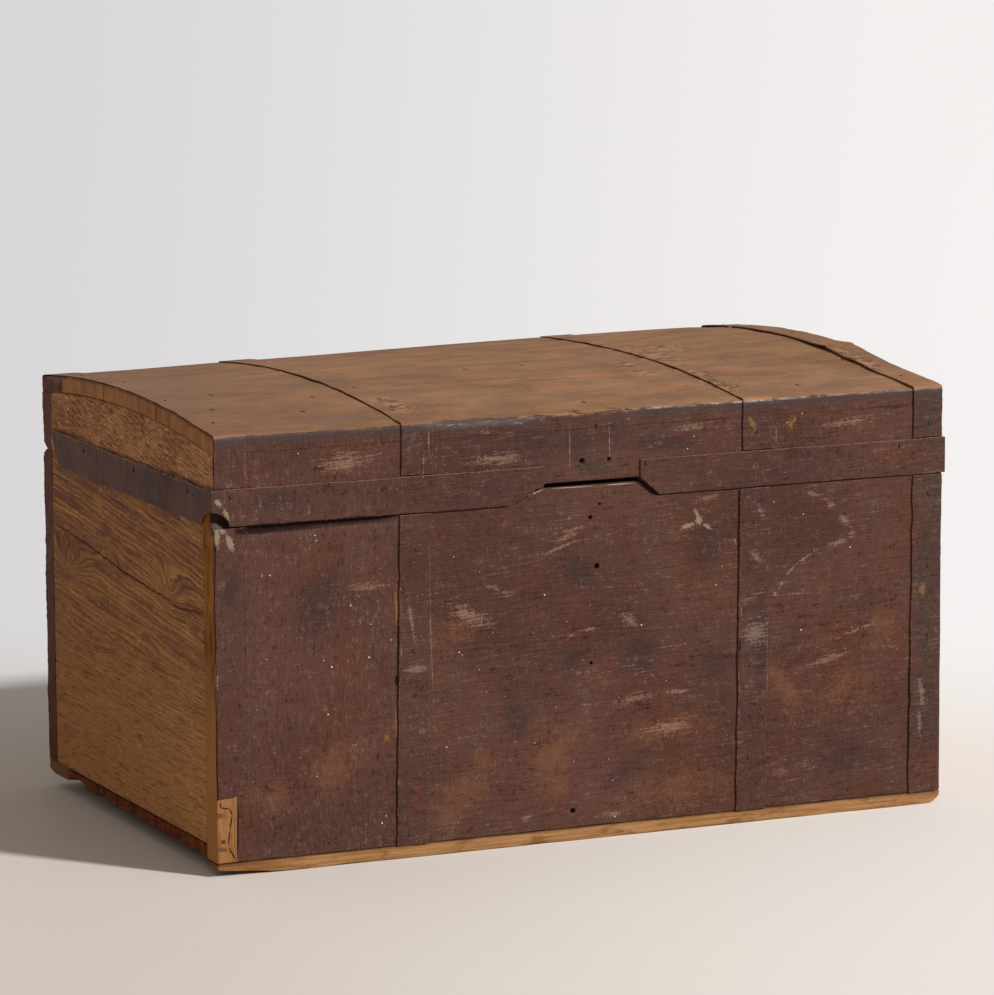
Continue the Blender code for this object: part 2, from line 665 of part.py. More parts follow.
def make_leaf(name, middle, direction, length, inner_face, knuckles, carrier):
    """One hinge leaf: a bent plate with a pointed end, and its knuckles round the pin."""
    half = HINGE_WIDTH / 2
    plate_half = half - HINGE_PLATE_SETBACK
    bore = HINGE_PIN_RADIUS + HINGE_PIN_CLEARANCE
    plate_end = PIN_Y - (bore + HINGE_BARREL_RADIUS) / 2
    profile = leaf_profile(direction, length, inner_face, plate_end)
    plate = prism(profile, "x", middle - plate_half, middle + plate_half)
    leaf = make_object(name, plate, DARK_IRON, carrier)
    for side in (-1, 1):
        corner = leaf_corner(middle, side, direction, length, inner_face)
        combine(leaf, make_object(name + "_corner", corner), "DIFFERENCE")
    swing = HINGE_BARREL_RADIUS + HINGE_BARREL_CLEARANCE
    third = HINGE_WIDTH / 3
    for index in range(3):
        x_low = middle - half + third * index
        x_high = x_low + third
        if index in knuckles:
            trim_low = HINGE_KNUCKLE_GAP / 2 if index > 0 else 0
            trim_high = HINGE_KNUCKLE_GAP / 2 if index < 2 else 0
            barrel = rod(PIN_Y, PIN_Z, HINGE_BARREL_RADIUS, x_low + trim_low, x_high - trim_high)
            combine(leaf, make_object(name + "_barrel_%d" % index, barrel), "UNION")
        else:
            clear_low = x_low if index > 0 else x_low - CUT_OVERRUN
            clear_high = x_high if index < 2 else x_high + CUT_OVERRUN
            room = box(clear_low, clear_high, PIN_Y - swing, PIN_Y + swing, PIN_Z - swing, PIN_Z + swing)
            combine(leaf, make_object(name + "_room_%d" % index, room), "DIFFERENCE")
    hole = rod(PIN_Y, PIN_Z, bore, middle - half - CUT_OVERRUN, middle + half + CUT_OVERRUN)
    combine(leaf, make_object(name + "_bore", hole), "DIFFERENCE")


def make_hinges(body, lid):
    """Two hinges: the body leaf has the outer knuckles, the lid leaf the middle one."""
    body_inner = BACK_Y - BACK_BOARD_THICKNESS
    lid_inner = BACK_Y - LID_BACK_RAIL_THICKNESS
    for side, middle in HINGE_MIDDLES:
        name = "hinge_" + side
        make_leaf(name + "_body_leaf", middle, -1, BODY_LEAF_LENGTH, body_inner, (0, 2), body)
        make_leaf(name + "_lid_leaf", middle, 1, LID_LEAF_LENGTH, lid_inner, (1,), lid)
        reach = HINGE_WIDTH / 2 + HINGE_PIN_OVERHANG
        pin = make_object(name + "_pin", rod(PIN_Y, PIN_Z, HINGE_PIN_RADIUS, middle - reach, middle + reach),
                          DARK_IRON, body)
        shade_round(pin)


def build():
    """Build the whole chest."""
    clear_scene()
    body = make_carrier("body_carrier", (0, 0, 0))
    lid = make_carrier("lid_hinge_axis", (0, PIN_Y, PIN_Z))
    gains = [gain for side, middle in HINGE_MIDDLES for gain in make_gains(side, middle)]
    make_front_board(body)
    make_back_board(body, gains)
    make_end_boards(body)
    make_bottom_planks(body)
    make_runners(body)
    make_body_straps(body)
    make_gables(lid)
    make_front_rail(lid)
    make_back_rail(lid, gains)
    make_staves(lid)
    make_lid_straps(lid)
    make_front_lip(lid)
    make_end_lips(lid)
    make_hinges(body, lid)


build()
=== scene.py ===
# %% [markdown]
# # A metal-bound chest
# The real object is an old pine chest under a low coopered lid. Its front, back and lid are painted a dark oxblood
# brown, its ends are bare, and thin iron straps and an iron lip bind it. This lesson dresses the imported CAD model:
# the CAD says where every board and strap is, and the cells below rebuild the visible ones with the small
# unevenness of handwork, and give each a finish that is worked out by shader nodes.

# %% The frame
import math

import bpy
import numpy as np
from mathutils import Matrix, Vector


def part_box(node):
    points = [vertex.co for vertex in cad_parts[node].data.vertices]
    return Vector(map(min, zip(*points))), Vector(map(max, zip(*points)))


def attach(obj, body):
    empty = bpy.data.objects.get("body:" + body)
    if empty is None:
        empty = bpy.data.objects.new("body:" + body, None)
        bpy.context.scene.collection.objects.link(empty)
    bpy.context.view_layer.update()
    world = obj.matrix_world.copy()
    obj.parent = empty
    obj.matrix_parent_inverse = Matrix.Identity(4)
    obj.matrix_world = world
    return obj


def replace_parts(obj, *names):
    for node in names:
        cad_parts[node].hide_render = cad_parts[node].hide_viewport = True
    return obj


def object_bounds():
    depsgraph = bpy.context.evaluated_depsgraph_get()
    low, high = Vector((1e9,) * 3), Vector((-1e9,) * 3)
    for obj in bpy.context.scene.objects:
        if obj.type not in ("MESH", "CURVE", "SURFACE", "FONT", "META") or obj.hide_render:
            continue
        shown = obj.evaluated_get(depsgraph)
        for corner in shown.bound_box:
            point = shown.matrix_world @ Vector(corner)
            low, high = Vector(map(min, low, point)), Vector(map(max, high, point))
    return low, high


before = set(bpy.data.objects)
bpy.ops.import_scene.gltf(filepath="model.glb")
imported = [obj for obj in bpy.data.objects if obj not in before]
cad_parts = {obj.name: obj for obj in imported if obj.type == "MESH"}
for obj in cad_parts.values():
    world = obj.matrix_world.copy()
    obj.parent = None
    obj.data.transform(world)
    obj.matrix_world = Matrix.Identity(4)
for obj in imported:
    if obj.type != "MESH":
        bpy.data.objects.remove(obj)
cad_box = [list(corner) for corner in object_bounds()]

# %% [markdown]
# ## The camera
# A photograph of a box gives the camera away: the edges along the length, the depth and the height each run to a
# vanishing point. The place, the three turns and the focal length below were fitted to the corners of the real
# chest, so that the model lies in the picture as the real one does. The lens is long, so the perspective is mild.

# %% Camera
def put(name, data):
    """A new object in the scene with that data."""
    thing = bpy.data.objects.new(name, data)
    bpy.context.scene.collection.objects.link(thing)
    return thing


def stand(axes, place=(0, 0, 0)):
    """The matrix of something that stands at a place, with these three axes."""
    return Matrix([(*row, along) for row, along in zip(np.stack(axes, 1), place)] + [(0, 0, 0, 1)])


EYE = np.array((-2.60413, -5.7866, 1.37198))
YAW, PITCH, ROLL = -0.424426, 0.159477, -0.005275
FOCAL_PIXELS = 5524.07
FRAME_LONG_SIDE = 995
SENSOR_WIDTH = 36

forward = np.array((-math.sin(YAW) * math.cos(PITCH), math.cos(YAW) * math.cos(PITCH), -math.sin(PITCH)))
level = np.array((math.cos(YAW), math.sin(YAW), 0))
upright = np.cross(level, forward)
right = math.cos(ROLL) * level + math.sin(ROLL) * upright
up = math.cos(ROLL) * upright - math.sin(ROLL) * level

lens = bpy.data.cameras.new("camera")
lens.sensor_width = SENSOR_WIDTH
lens.lens = FOCAL_PIXELS * SENSOR_WIDTH / FRAME_LONG_SIDE
camera = put("camera", lens)
camera.matrix_world = stand((right, up, -forward), EYE)
bpy.context.scene.camera = camera
print("focal length", round(lens.lens, 1), "mm")

# %% [markdown]
# ## A grammar for materials
# Shader nodes are clearer as sums than as boxes and wires. `Number` wraps one output of a node: adding, multiplying
# or comparing two of them adds the Math node that does it. `Recipe` is one material. Its `node` method makes any
# node from its type, its settings and what goes into it, and the short methods under it are the few patterns that
# every finish here is mixed from: noise with a size in metres, a soft step, a blend of two colours and a spot.

# %% Numbers that a shader works out
class Number:
    """A value that changes over a surface. Arithmetic on it adds Math nodes to its recipe."""

    def __init__(self, recipe, socket):
        self.recipe = recipe
        self.socket = socket

    def maths(self, operation, *values):
        """A Math node of this number and the values, in that order."""
        return self.recipe.node("ShaderNodeMath", {"operation": operation}, dict(enumerate((self, *values))))

    def __rsub__(self, other):
        return self.maths("MULTIPLY_ADD", -1, other)

    def scaled(self, factor, more):
        """This times a factor, plus more, in one node."""
        return self.maths("MULTIPLY_ADD", factor, more)

    def step(self, low, high):
        """0 below low, 1 above high, and a smooth rise between; a falling step when low is the larger."""
        ends = {"From Min": min(low, high), "From Max": max(low, high),
                "To Min": 0 if low < high else 1, "To Max": 1 if low < high else 0}
        return self.recipe.node("ShaderNodeMapRange", {"interpolation_type": "SMOOTHSTEP"}, {"Value": self, **ends})


for sign, operation in (("__add__", "ADD"), ("__radd__", "ADD"), ("__sub__", "SUBTRACT"), ("__mul__", "MULTIPLY"),
                        ("__rmul__", "MULTIPLY"), ("__truediv__", "DIVIDE"), ("__pow__", "POWER"), ("fract", "FRACT"),
                        ("either", "MAXIMUM")):
    setattr(Number, sign, lambda self, *other, operation=operation: self.maths(operation, *other))


class Recipe:
    """One material, and the patterns that it is mixed from. Every pattern reads the place on the object in metres."""

    def __init__(self, name):
        self.material = bpy.data.materials.new(name)
        self.material.use_nodes = True
        self.tree = self.material.node_tree
        self.shader = self.tree.nodes["Principled BSDF"]
        self.place = self.node("ShaderNodeTexCoord", out="Object")
        self.x, self.y, self.z = self.split(self.place)

    def node(self, kind, settings=None, values=None, out=0):
        node = self.tree.nodes.new(kind)
        for name, setting in (settings or {}).items():
            setattr(node, name, setting)
        for name, value in (values or {}).items():
            self.feed(node.inputs[name], value)
        return Number(self, node.outputs[out])

    def feed(self, socket, value):
        if isinstance(value, Number):
            self.tree.links.new(value.socket, socket)
        else:
            socket.default_value = value

    def split(self, vector):
        node = self.tree.nodes.new("ShaderNodeSeparateXYZ")
        self.feed(node.inputs[0], vector)
        return [Number(self, output) for output in node.outputs]

    def attribute(self, name):
        return self.node("ShaderNodeAttribute", {"attribute_name": name}, out="Fac")

    def local(self, centre, sizes, turns=(0, 0, 0)):
        """The place measured from a centre, along turned axes, in units of the sizes."""
        return self.node("ShaderNodeMapping", {"vector_type": "TEXTURE"},
                         {"Vector": self.place, "Location": centre, "Rotation": turns, "Scale": sizes})

    def noise(self, size, seed, detail=3, rough=0.55, turns=(0, 0, 0)):
        """Cloudy noise from -0.5 to 0.5; a blotch measures about `size` metres, given per axis."""
        sizes = (size,) * 3 if isinstance(size, float) else size
        shift = (0.37 * seed, -0.61 * seed, 0.83 * seed)
        return self.clouds(self.local(shift, sizes, turns), detail, rough)

    def clouds(self, vector, detail, rough):
        values = {"Vector": vector, "Scale": 1, "Detail": detail, "Roughness": rough}
        return self.node("ShaderNodeTexNoise", None, values) - 0.5

    def flow(self, along, across, seed, detail=3, rough=0.6):
        """Noise over two numbers of its own, so that its streaks can follow bent lines."""
        vector = self.node("ShaderNodeCombineXYZ", None, {0: along, 1: across, 2: 0.83 * seed})
        return self.clouds(vector, detail, rough)

    def mix(self, first, second, share, way="MIX"):
        """The first colour where the share is 0, the second where it is 1."""
        return self.node("ShaderNodeMix", {"data_type": "RGBA", "blend_type": way},
                         {0: share, 6: first, 7: second}, out=2)

    def layers(self, colour, side, *shades):
        """Lay seen shades over a colour or a first seen shade; each is its red, green and blue and its share."""
        if isinstance(colour, tuple):
            colour = chip(*colour, side)
        for *shade, share in shades:
            colour = self.mix(colour, chip(*shade, side), share)
        return colour

    def spot(self, centre, sizes):
        """1 at the centre, falling evenly to 0 on an ellipsoid with those half sizes, and below 0 beyond."""
        return 1 - self.node("ShaderNodeVectorMath", {"operation": "LENGTH"}, {0: self.local(centre, sizes)}, "Value")

    def inside(self, marks, second=None):
        """How deep a point lies in the nearest mark: 1 at its middle, 0 on its outline and less beyond. A mark is its
        place along x and the second axis (z if none is given), its half length and half width, all in tenths of a
        millimetre, and its turn in degrees."""
        second = second or self.z
        nearest = 1e4
        for *places, turn in marks:
            x, z, long, wide = (0.0001 * place for place in places)
            cos, sin = math.cos(math.radians(turn)), math.sin(math.radians(turn))
            along = self.x.scaled(cos / long, second.scaled(sin / long, -(x * cos + z * sin) / long))
            beside = self.x.scaled(-sin / wide, second.scaled(cos / wide, (x * sin - z * cos) / wide))
            nearest = along.scaled(along, beside * beside).maths("MINIMUM", nearest)
        return 1 - nearest ** 0.5

    def daub(self, colour, share, ragged, low, high, shade, strength):
        """Mix a shade into the colour where the share plus a ragged value passes from low to high."""
        return self.mix(colour, shade, (share + ragged).step(low, high) * strength)

    def finish(self, colour, roughness, height, depth=0.0006, specular=0.06, metallic=0):
        bump = self.node("ShaderNodeBump", None, {"Strength": 1, "Distance": depth, "Height": height})
        for name, value in (("Base Color", colour), ("Roughness", roughness), ("Normal", bump),
                            ("Specular IOR Level", specular), ("Metallic", metallic)):
            self.feed(self.shader.inputs[name], value)
        return self.material


# %% [markdown]
# ## Colours as they are seen
# A colour picked from an object already holds the light that fell on it and the veil of its gloss. The sun
# and the room give each side of the chest its own share of both, measured once with two grey cards, so `chip` takes
# a colour as it is seen on a screen, lifts the veil and divides the light out again. What is left is the stuff.

# %% Colour chips
FRONT = (1.5, 1.425, 1.335), (0.0066, 0.0064, 0.0062)
TOP = (1.02, 0.97, 0.915), (0.0108, 0.0099, 0.009)
END = (0.44, 0.39, 0.345), (0.0075, 0.0069, 0.006)


def chip(red, green, blue, side=FRONT):
    """A seen colour, 0 to 255, turned into linear light, less the veil and divided by the light on that side."""
    light, veil = side
    shares = np.array((red, green, blue)) / 255
    linear = np.where(shares <= 0.04045, shares / 12.92, ((shares + 0.055) / 1.055) ** 2.4)
    return (*((linear - veil) / light).clip(0.002, 0.95).tolist(), 1)


print("mid oxblood as stuff:", [round(share, 3) for share in chip(93, 64, 54)])

# %% [markdown]
# ## Sizes that the boards share
# The CAD model already holds every board. A few of its main lines are named here, because the pieces below bend,
# notch and wear away around them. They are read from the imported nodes; the few numbers that no box can tell, such as
# the dome's rise, are those of the CAD source. The lid is out of true: its back edge has risen, most towards the
# right, as an old coopered lid does when it warps.

# %% Main lines of the chest
def reach(node):
    """Lowest and highest corner of a CAD node, as arrays."""
    low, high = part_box(node)
    return np.array(low), np.array(high)


front_low, front_high = reach("front_board")
back_low, back_high = reach("back_board")
rail_low, rail_high = reach("lid_front_rail")
lip_low, lip_high = reach("lip_front_right")
FRONT_Y, BACK_Y = front_low[1], back_high[1]
MIDDLE_Y = (FRONT_Y + BACK_Y) / 2
END_X = front_high[0]
BODY_TOP, LID_LOW = front_high[2], rail_low[2]
SEAM_Z = (BODY_TOP + LID_LOW) / 2
LIP_LOW, LIP_TOP = lip_low[2], lip_high[2]
GAP = 0.0003
BOX_MARGIN = 0.00005
STAVE_THICKNESS = 0.019
LID_SIDE_HEIGHT = 0.064
DOME_RISE = 0.018
DOME_RADIUS = (BACK_Y - FRONT_Y) ** 2 / (8 * DOME_RISE) + DOME_RISE / 2
OUTER_RADIUS = DOME_RADIUS + STAVE_THICKNESS
DOME_CENTRE_Z = LID_LOW + LID_SIDE_HEIGHT + GAP + DOME_RISE - DOME_RADIUS
LID_ARRIS = 0.004
FIRST_JOINT_Y = FRONT_Y + 0.313 * (BACK_Y - FRONT_Y)
LIFT_PLACES = (-0.45, -0.342, -0.22, -0.125, 0.000, 0.177, 0.312, 0.394, 0.45)
LIFT_HEIGHTS = (0.0009, 0.0012, 0.003, 0.0041, 0.0062, 0.0082, 0.009, 0.009, 0.0062)


def ramp(value, width):
    """0 below 0, 1 above the width, and a straight rise between; `fade` falls the same way."""
    return np.clip(value / width, 0, 1)


def fade(value, width):
    return 1 - ramp(value, width)


def smooth(value, low, high):
    """0 below low, 1 above high, and the curve 3t^2 - 2t^3 between."""
    t = ramp(value - low, high - low)
    return t * t * (3 - 2 * t)


def rear_lift(x, y):
    """The back edge's lift at x times a rise from front to back: early at the right end, late elsewhere."""
    early = 1 - ramp(BACK_Y - y, BACK_Y - FIRST_JOINT_Y) ** 2
    late = ramp(y + 0.02, BACK_Y + 0.02) ** 2
    sag = 0.0028 * smooth(x, 0.2, 0.42) * np.exp(-((y + 0.175) / 0.058) ** 2)
    return np.interp(x, LIFT_PLACES, LIFT_HEIGHTS) * (late + (early - late) * smooth(x, 0.22, 0.38)) - sag


def dome(x, y, radius):
    """How high a curved lid surface lies: an arc across the depth, plus the lift."""
    return DOME_CENTRE_Z + np.sqrt(radius ** 2 - (y - MIDDLE_Y) ** 2) + rear_lift(x, y)


ARRIS_Z = float(dome(0, FRONT_Y, OUTER_RADIUS))
print("front, back, seam and arris at", [round(place, 4) for place in (FRONT_Y, BACK_Y, SEAM_Z, ARRIS_Z)])

# %% [markdown]
# ## Making a board
# A board could be a cube with a bevel, but then it would be as flat and sharp as new. Here it is the skin of a
# lattice: three lists of places, along x, y and z, cross in a block of points, and the points on the six sides are
# kept. Arrises are rounded by pushing the outer points onto a ball that rolls inside the block, and smooth waves
# shift the skin a little. The lists lie close together only where something bends. Each point also keeps three
# numbers for its finish: how much paint covers it, how high it lies over the lid's front arris, and how much darker
# it is drawn. That last number is dirt, dark joints and old paint in some places, and painted shade in others: in
# holes, gaps and seams and under the lip and the boards.

# %% The skin of a lattice
def waves(points, size, seed, count=12):
    """Smooth unevenness of about -1 to 1: a sum of sines of place / size along random directions, over root count."""
    draw = np.random.default_rng(seed)
    ways = draw.normal(size=(count, 3))
    ways *= 2 * np.pi / draw.uniform(0.7, 1.7, (count, 1)) / np.linalg.norm(ways, axis=1, keepdims=True)
    return np.sin((points / size) @ ways.T + draw.uniform(0, 2 * np.pi, count)).sum(1) / math.sqrt(count)


def swell(points, size, seed, share=1, most=2):
    """One-sided unevenness: 1 plus a share of the waves, kept from 0 to the most."""
    return (1 + share * waves(points, size, seed)).clip(0, most)


def rows(x=0, y=0, z=0):
    """Points from their coordinates; one that isn't given is 0."""
    return np.stack(np.broadcast_arrays(x, y, z), 1)


def ruler(low, high, step, arris, fine=()):
    """Places from low to high: even steps, four more in and beside each arris, nine around each fine (place, reach)."""
    count = max(1, round((high - low - 2 * arris) / step))
    bend = np.array((0, 0.3 * arris, 0.65 * arris, 1.15 * arris + 0.0005))
    close = [place + span * np.array((-1.6, -1.2, -0.9, -0.45, 0, 0.45, 0.9, 1.2, 1.6)) for place, span in fine]
    places = np.concatenate((low + bend, np.linspace(low + arris, high - arris, count + 1), high - bend, *close))
    return np.unique(np.round(places[(places >= low) & (places <= high)], 6))


def block(xs, ys, zs):
    """The points (x, y, z) of a lattice that lie on its six sides, and the quads between them, facing outwards."""
    lattice = np.stack(np.meshgrid(xs, ys, zs, indexing="ij"), -1).reshape(-1, 3)
    numbers = np.arange(len(lattice)).reshape(len(xs), len(ys), len(zs))
    quads = []
    for axis in range(3):
        for end in (0, -1):
            side = np.take(numbers, end, axis)
            ring = np.stack((side[:-1, :-1], side[1:, :-1], side[1:, 1:], side[:-1, 1:]), -1).reshape(-1, 4)
            quads.append(ring[:, ::-1] if (end == 0) != (axis == 1) else ring)
    used, corners = np.unique(np.concatenate(quads), return_inverse=True)
    return lattice[used], corners.reshape(-1, 4)


def ease(points, low, high, radius):
    """Round the arrises: a point keeps its direction from the inner box, but lies at most a radius away from it."""
    inner = np.clip(points, np.asarray(low) + radius, np.asarray(high) - radius)
    away = points - inner
    length = np.linalg.norm(away, axis=1, keepdims=True)
    return inner + away * np.minimum(1, radius / np.maximum(length, 1e-9))


def carve(low, high, steps, arrises, radius, fine=((), (), ())):
    """A block between two corners with its arrises eased; the radius may be worked out from the points."""
    points, quads = block(*(ruler(*lines) for lines in zip(low, high, steps, arrises, fine)))
    return ease(points, low, high, radius(points) if callable(radius) else radius), quads


def worn(radius, size, seed):
    """A radius that waves along the arrises."""
    return lambda points: radius * (1 + 0.5 * waves(points, size, seed))[:, None].clip(0.5, 1.6)


def cover(points, low, high, sides, depth=0.0016):
    """How much paint holds, 1 on the painted sides and 0 a paint's depth below them; a side is an axis and an end."""
    share = np.zeros(len(points))
    for side in sides:
        axis = "xyz".index(side[0])
        below = points[:, axis] - low[axis] if side[1] == "-" else high[axis] - points[:, axis]
        share = np.maximum(share, 1 - below / depth)
    return np.clip(share, 0, 1)


def outwards(x, low, high, left):
    """A share that is 1 on the outer face of an end and 0 on its inner one, and the sign of the way in."""
    return abs(x - (high if left else low)[0]) / (high[0] - low[0]), 1 if left else -1


def stretch(values, low, middle, high, new_middle):
    """Slide a middle line to a new place, which may differ from point to point, and keep both ends."""
    below = low + (values - low) * (new_middle - low) / (middle - low)
    above = new_middle + (values - middle) * (high - new_middle) / (high - middle)
    return np.where(values < middle, below, above)


def make_mesh(name, points, faces, material, body, paint=None, dirt_and_shade=None):
    """Put points and faces into a smooth mesh with its finish numbers, and let it ride on its body."""
    mesh = bpy.data.meshes.new(name)
    mesh.from_pydata(points.tolist(), [], faces)
    mesh.shade_smooth()
    none, x, y = np.zeros(len(points)), points[:, 0], points[:, 1]
    numbers = {"cover": none + 1 if paint is None else paint, "dirt_and_shade": none if dirt_and_shade is None else dirt_and_shade,
               "crown": points[:, 2] - ARRIS_Z - rear_lift(x, y)}
    for label, values in numbers.items():
        mesh.attributes.new(label, "FLOAT", "POINT").data.foreach_set("value", values.astype(np.float32))
    mesh.materials.append(material)
    piece = put(name, mesh)
    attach(piece, body)
    print(f"{name}: {len(points)} points, {len(faces)} faces")
    return piece


def make_piece(node, points, quads, material, paint=None, dirt_and_shade=None):
    """The skin that stands for a CAD node, on the body that the node belongs to."""
    body = "lid" if node.startswith(("lid_", "lip_")) else "carcass"
    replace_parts(make_mesh(node + "_skin", points, quads.tolist(), material, body, paint, dirt_and_shade), node)


trial, sides = block(ruler(0, 0.1, 0.02, 0.002), ruler(0, 0.02, 0.02, 0.002), ruler(0, 0.05, 0.02, 0.002))
print("a small board has", len(trial), "points and", len(sides), "faces")

# %% [markdown]
# ## Marks on the front
# What makes this chest itself are its marks: rubbed patches, warm places where the wood shines through, dark
# clouds, drips of an old cream paint, a curved scratch. Each is a spot on the front plane, given as its place along
# the length and the height, its half length and half width in tenths of a millimetre, and its turn in degrees. Noise
# breaks up their edges.

# %% Where the marks are
RUBBED = [(-369, 3356, 306, 33, 19), (-203, 3530, 148, 44, 0), (-270, 3490, 244, 66, 20), (-239, 3686, 40, 22, 21),
          (534, 2459, 205, 88, -35), (453, 2512, 71, 28, -58), (-225, 2344, 98, 33, 35), (29, 2409, 137, 44, 5),
          (-1077, 2934, 273, 55, -20), (-1517, 2703, 453, 132, -28), (546, 1558, 335, 77, 8),
          (1124, 1600, 246, 44, 2), (-29, 1556, 118, 16, 1), (-2702, 3095, 305, 66, 1), (292, 261, 244, 55, 0),
          (-778, 323, 113, 66, 22), (992, 1208, 483, 110, 7), (2831, 3740, 138, 44, -21), (3056, 3614, 123, 66, -38),
          (3232, 3427, 153, 99, -47), (3329, 3246, 77, 77, -106), (3130, 3157, 182, 55, -173),
          (2847, 3085, 114, 33, -154), (1495, 3806, 228, 55, 5), (3000, 1800, 500, 60, 14), (3450, 2140, 400, 30, 16),
          (-2900, 4520, 450, 160, 8), (1300, 4620, 400, 50, 3), (-1150, 4420, 500, 100, 0), (3300, 4550, 500, 80, 5)]
WARM = [(-453, 1038, 356, 264, 38), (-1303, 1018, 177, 121, 30), (992, 1184, 480, 132, 4), (1101, 492, 694, 198, 7),
        (1117, 490, 270, 154, 27), (-368, 646, 191, 110, 52), (-1716, 453, 157, 110, 20), (-3093, 1137, 330, 220, 24),
        (-3815, 867, 298, 176, 5), (3752, 2212, 350, 198, 37), (3192, 1440, 523, 220, 8), (-1640, 2533, 207, 176, 28),
        (2480, 1500, 300, 120, -60), (-1500, 700, 300, 200, 20)]
CLOUD = [(-330, 4560, 1200, 240, 2), (-3330, 2960, 720, 400, 62), (-2142, 1980, 220, 90, 4),
         (1458, 3201, 330, 330, 16), (640, 2061, 286, 286, 8), (-170, 2128, 220, 220, -21),
         (-105, 3092, 265, 264, 21), (1617, 1922, 307, 242, 44), (-3774, 4158, 294, 132, -2),
         (3196, 678, 520, 220, 1), (-914, 1450, 402, 154, -63), (387, 702, 292, 176, 31), (2157, 2223, 811, 110, -90),
         (-4315, 3193, 333, 110, 79), (959, 4464, 813, 110, 178)]
CREAM = [(-4470, 3790, 150, 48, -87), (-4415, 3860, 70, 40, -30), (-4318, 3725, 120, 42, -68),
         (-4516, 2340, 150, 34, -86), (-4504, 2200, 110, 34, -87), (-4447, 4162, 54, 33, -42),
         (-4356, 4029, 84, 29, -62), (1249, 3497, 109, 33, 11), (1381, 3545, 55, 55, 47), (1356, 3621, 81, 24, -62),
         (1489, 3468, 66, 20, -30), (-4440, 3900, 60, 28, -80)]
# Some long thin lines in the next table run along the straps' right edges; there the pale colour is partly rubbed paint
# and partly painted highlight, where the edges catch the light. The rest are scratches and rubbed lines.
PALE = [(2718, 3008, 110, 18, -153), (2552, 2888, 117, 22, -136), (2431, 2741, 94, 26, -122),
        (2348, 2626, 45, 35, -120), (2695, 2607, 309, 9, -2), (1843, 3264, 70, 11, -85), (-228, 4481, 338, 9, -90),
        (263, 4522, 323, 9, -89), (-2300, 2330, 100, 10, -88), (-1930, 2500, 1200, 7, -88.2),
        (-1952, 4690, 200, 12, -90), (-2020, 4400, 180, 10, 88), (-4128, 4580, 260, 8, -90), (2245, 1900, 500, 8, -89)]
STRAP_PALE = [(-2120, 2130, 200, 52, 4), (-2178, 2695, 340, 35, -81), (2092, 3084, 143, 66, -44),
              (2112, 2656, 110, 14, 3), (2090, 2195, 200, 180, -10), (2147, 3610, 132, 55, -64),
              (2040, 2605, 110, 12, 2), (4242, 1308, 50, 260, 8), (4220, 960, 40, 200, 5)]
BARE = [(-2342, 2870, 398, 26, -90), (-2347, 2955, 140, 33, -89), (-2362, 1550, 209, 11, -89),
        (2540, 4553, 120, 57, -93), (2597, 4618, 56, 34, -117), (2358, 4491, 172, 12, -91),
        (2037, 4621, 103, 35, -60), (1908, 2464, 128, 11, -87), (4246, 2535, 106, 55, -86), (-2478, 1386, 57, 33, -84)]
SLATE = [(4330, 2300, 2600, 300, -90), (4330, 4600, 500, 260, -90), (40, 4250, 300, 160, 0)]
RUSTY = [(4310, 440, 300, 260, 0), (-2150, 700, 500, 160, -88), (3900, 4120, 600, 120, 3)]
# The next table is painted shade: dark spots just below the lip on the left, standing for the lip's shadow on the
# board.
PAINTED_LIP_SHADOW = [(-3800, 3845, 680, 72, 0), (-3050, 3862, 800, 52, 0), (-4165, 3845, 125, 62, 0)]
# The next table is painted highlight: pale lines along the tongue's top arris, where it catches the light.
PAINTED_HIGHLIGHTS = [(-631, 4010, 103, 10, 17), (-194, 4036, 339, 9, -1), (375, 4030, 230, 9, 0)]
# The next table is painted shade: dark lines where the broken strap's edge and the two middle straps cast shadows, and
# a dark dot in a nail hole.
PAINTED_SHADOW_MARKS = [(-4258, 530, 385, 9, -91), (96, 4708, 22, 22, 0), (-2352, 2021, 70, 24, -90), (1888, 2069, 90, 20, -90)]
# In the next table the last entry is painted shade, the shadow line along the bare patch's right edge; the others are
# cracks.
CRACKS_AND_EDGE_SHADOW = [(-4460, 810, 40, 9, -79), (-4402, 771, 60, 9, -11), (-4337, 726, 46, 10, -72), (-4339, 608, 94, 10, -99),
          (-4365, 437, 99, 10, -98), (-4326, 254, 118, 11, -61), (-4264, 516, 381, 9, -91)]
STAINS = [(-4497, 696, 97, 34, -5), (-4449, 311, 81, 28, -6)]

STRAP_MIDDLES, STRAP_REACH = (-0.432, -0.215, 0.208, 0.43), 0.032


def on_boards(x, z):
    return z < BODY_TOP


def on_lid(x, z):
    return z > LIP_LOW - 0.004


def on_straps(x, z):
    return z < BODY_TOP and min(abs(x - middle) for middle in STRAP_MIDDLES) < STRAP_REACH


print("marks of rubbing:", len(RUBBED), "warm:", len(WARM), "clouds:", len(CLOUD), "drips and splashes:", len(CREAM))

# %% [markdown]
# ## Old oxblood paint
# The paint is thin and has clouded and rubbed: broad grey and red clouds, fine upright flecks on the left panel and
# brush lines along the board elsewhere. One tone is summed from five noises and darkens or lightens the colour, and
# then the marks of that part of the chest are daubed on. A function returns colour, roughness and height, so that
# boards, lid and iron can all wear it.

